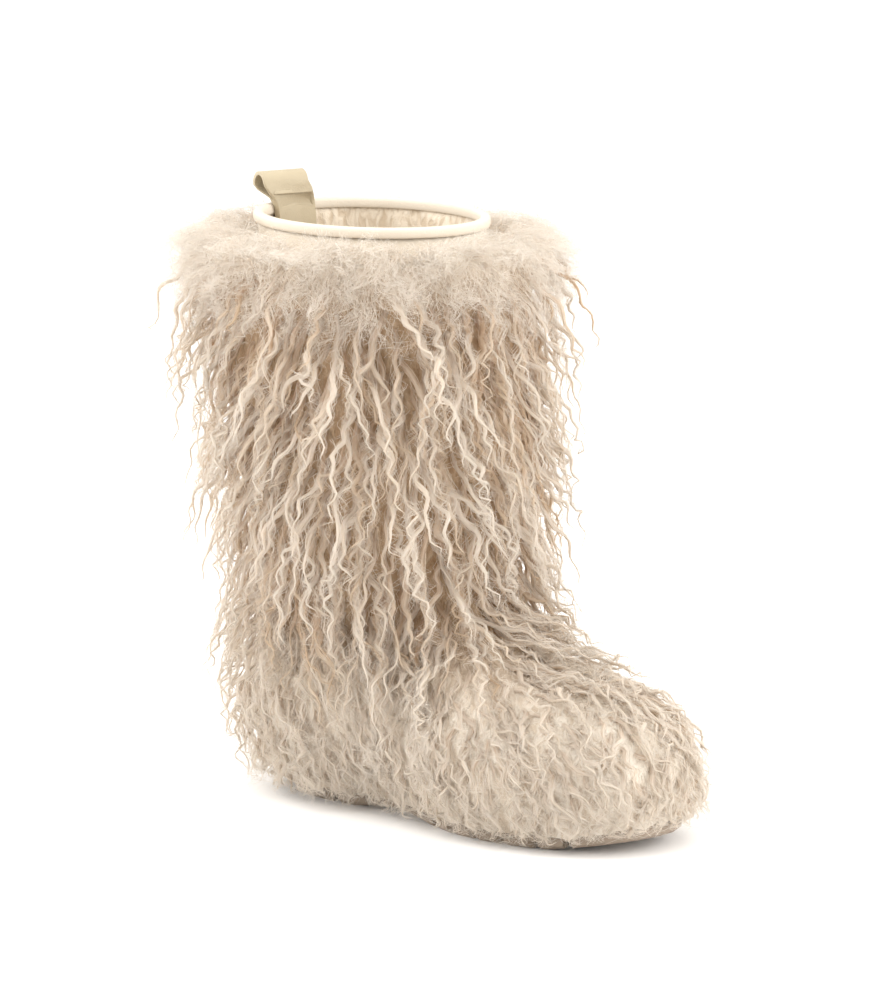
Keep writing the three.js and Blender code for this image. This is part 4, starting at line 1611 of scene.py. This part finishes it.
@dataclass
class PullLoop:
    """The doubled strip inside the back of the collar; it turns as it rises and has a plain pressed panel."""

    finish: LeatherFinish = LeatherFinish(
        "loop_leather", rgb(0.46, 0.39, 0.27), rgb(0.40, 0.335, 0.23), 0.55)
    edge: float = 0.5 * MM
    edge_rounds: int = 3
    edge_angle: float = math.radians(50)
    cuts: tuple[float, ...] = (-9 * MM, -6 * MM, -3 * MM)  # heights over the collar of added rows of points
    rise: float = 20 * MM
    lean: float = 5 * MM
    aside: float = -6 * MM
    twist: float = math.radians(15)
    turned: tuple[float, float] = (4 * MM, 11.5 * MM)
    eased: tuple[float, float] = (-1 * MM, 14 * MM)
    panel: tuple[float, float] = (-2.5 * MM, 9.5 * MM)
    panel_rim: float = 2.4 * MM
    panel_step: float = 0.45 * MM
    front_facing: float = 0.75
    front_depth: float = 5 * MM

    def build(self) -> None:
        """Makes the strip with softened edges."""
        shape = node_bmesh("pull_loop")
        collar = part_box("pull_loop")[1].z - self.rise
        for level in (*self.cuts, *self.panel):
            cut = shape.verts[:] + shape.edges[:] + shape.faces[:]
            bmesh.ops.bisect_plane(shape, geom=cut, plane_co=(0, 0, collar + level), plane_no=(0, 0, 1))
        self._ease(shape, collar)
        self._press(shape, collar)
        strap = add_piece("loop_strip", to_mesh(shape), self.finish.material(), "strap", "pull_loop")
        soften = strap.modifiers.new("soft_edges", "BEVEL")
        soften.width = self.edge
        soften.segments = self.edge_rounds
        soften.limit_method = "ANGLE"
        soften.angle_limit = self.edge_angle

    def _ease(self, shape: bmesh.types.BMesh, collar: float) -> None:
        """Spreads the strip's turn over more of its height.

        Args:
            shape: The strip, changed in place.
            collar: The height of the collar's edge.
        """
        straight = [vert.co.x for vert in shape.verts if 0 < vert.co.z - collar < self.turned[0]]
        middle = (min(straight) + max(straight)) / 2
        for vert in shape.verts:
            was = float(smooth(np.array(vert.co.z - collar), *self.turned))
            now = float(smooth(np.array(vert.co.z - collar), *self.eased))
            x = vert.co.x - middle + self.lean * was
            y = vert.co.y - self.aside * was
            turn = self.twist * (now - was)
            vert.co.x = middle - self.lean * was + x * math.cos(turn) + y * math.sin(turn)
            vert.co.y = self.aside * now + y * math.cos(turn) - x * math.sin(turn)
        shape.normal_update()

    def _press(self, shape: bmesh.types.BMesh, collar: float) -> None:
        """Presses a plain panel into the front of the strip.

        Args:
            shape: The strip, changed in place.
            collar: The height of the collar's edge.
        """
        low, high = self.panel
        front = [
            face for face in shape.faces
            if face.normal.x > self.front_facing and low < face.calc_center_median().z - collar < high
        ]
        reach = max(face.calc_center_median().x for face in front)
        panel = [face for face in front if face.calc_center_median().x > reach - self.front_depth]
        bmesh.ops.inset_region(shape, faces=panel, thickness=self.panel_rim)
        bmesh.ops.inset_region(shape, faces=panel, thickness=self.panel_step, depth=-self.panel_step)
        shape.normal_update()


@dataclass
class Sole:
    """The outsole and the footbed, which keep their CAD forms."""

    rubber: RubberFinish = field(default_factory=RubberFinish)
    felt: FeltFinish = field(default_factory=FeltFinish)

    def build(self) -> None:
        """Dresses both."""
        dress_node("outsole", self.rubber.material())
        dress_node("insole", self.felt.material())


@dataclass(frozen=True)
class SoftBox:
    """One square light: its name, place, side in metres and power in watts."""

    name: str
    place: tuple[float, float, float]
    size: float
    power: float


@dataclass
class Studio:
    """Pale floor, soft light and the camera."""

    azimuth: float = math.radians(45)
    elevation: float = math.radians(10.5)
    distance: float = 3.5
    focal: float = 225.5
    sensor: float = 36.0
    far: float = 100.0
    floor_size: float = 30.0
    paper: FloorFinish = field(default_factory=FloorFinish)
    room: Colour = rgb(1.0, 0.972, 0.93)
    room_light: float = 1.2
    aim: tuple[float, float, float] = (0.05, 0.0, 0.15)
    boxes: tuple[SoftBox, ...] = (
        SoftBox("top_box", (0.1, -0.3, 2.0), 1.8, 17.0),
        SoftBox("left_box", (-0.8, -1.8, 1.2), 1.4, 24.0),
        SoftBox("right_box", (1.8, 0.9, 0.95), 1.4, 34.0),
        SoftBox("rim_box", (-1.9, -0.7, 0.9), 1.4, 14.0),
    )

    def build(self) -> None:
        """Makes the floor, the lights and the camera."""
        self._floor()
        self._lights()
        self._camera()
        bpy.context.scene.view_settings.view_transform = "Standard"

    def _floor(self) -> None:
        """Lays a wide floor."""
        shape = bmesh.new()
        bmesh.ops.create_grid(shape, x_segments=1, y_segments=1, size=self.floor_size)
        mesh = to_mesh(shape)
        mesh.materials.append(self.paper.material())
        floor = bpy.data.objects.new("floor", mesh)
        bpy.context.scene.collection.objects.link(floor)

    def _lights(self) -> None:
        """Hangs soft boxes round the boot, in a bright room."""
        world = bpy.data.worlds.new("room")
        world.use_nodes = True
        light = world.node_tree.nodes["Background"].inputs
        light["Color"].default_value = self.room
        light["Strength"].default_value = self.room_light
        bpy.context.scene.world = world
        for box in self.boxes:
            self._hang(box)

    def _hang(self, box: SoftBox) -> None:
        """Hangs one light so that it faces the boot.

        Args:
            box: The light.
        """
        data = bpy.data.lights.new(box.name, "AREA")
        data.size = box.size
        data.energy = box.power
        lamp = bpy.data.objects.new(box.name, data)
        lamp.location = box.place
        lamp.rotation_euler = (Vector(self.aim) - Vector(box.place)).to_track_quat("-Z", "Y").to_euler()
        bpy.context.scene.collection.objects.link(lamp)

    def _camera(self) -> None:
        """Sets the camera at the photograph's angle, on the middle of the boot."""
        low, high = CAD_BOX
        back = Vector((
            math.sin(self.azimuth) * math.cos(self.elevation),
            -math.cos(self.azimuth) * math.cos(self.elevation),
            math.sin(self.elevation),
        ))
        data = bpy.data.cameras.new("camera")
        data.lens = self.focal
        data.sensor_width = self.sensor
        data.clip_end = self.far
        camera = bpy.data.objects.new("camera", data)
        camera.location = (low + high) / 2 + back * self.distance
        camera.rotation_euler = (-back).to_track_quat("-Z", "Y").to_euler()
        bpy.context.scene.collection.objects.link(camera)
        bpy.context.scene.camera = camera


def main() -> None:
    """Builds every sub-assembly in order."""
    logging.basicConfig(level=logging.INFO, format="%(message)s")
    for part in (Sole(), Collar(), PullLoop(), Pelt(), Studio()):
        part.build()


if __name__ == "__main__":
    main()
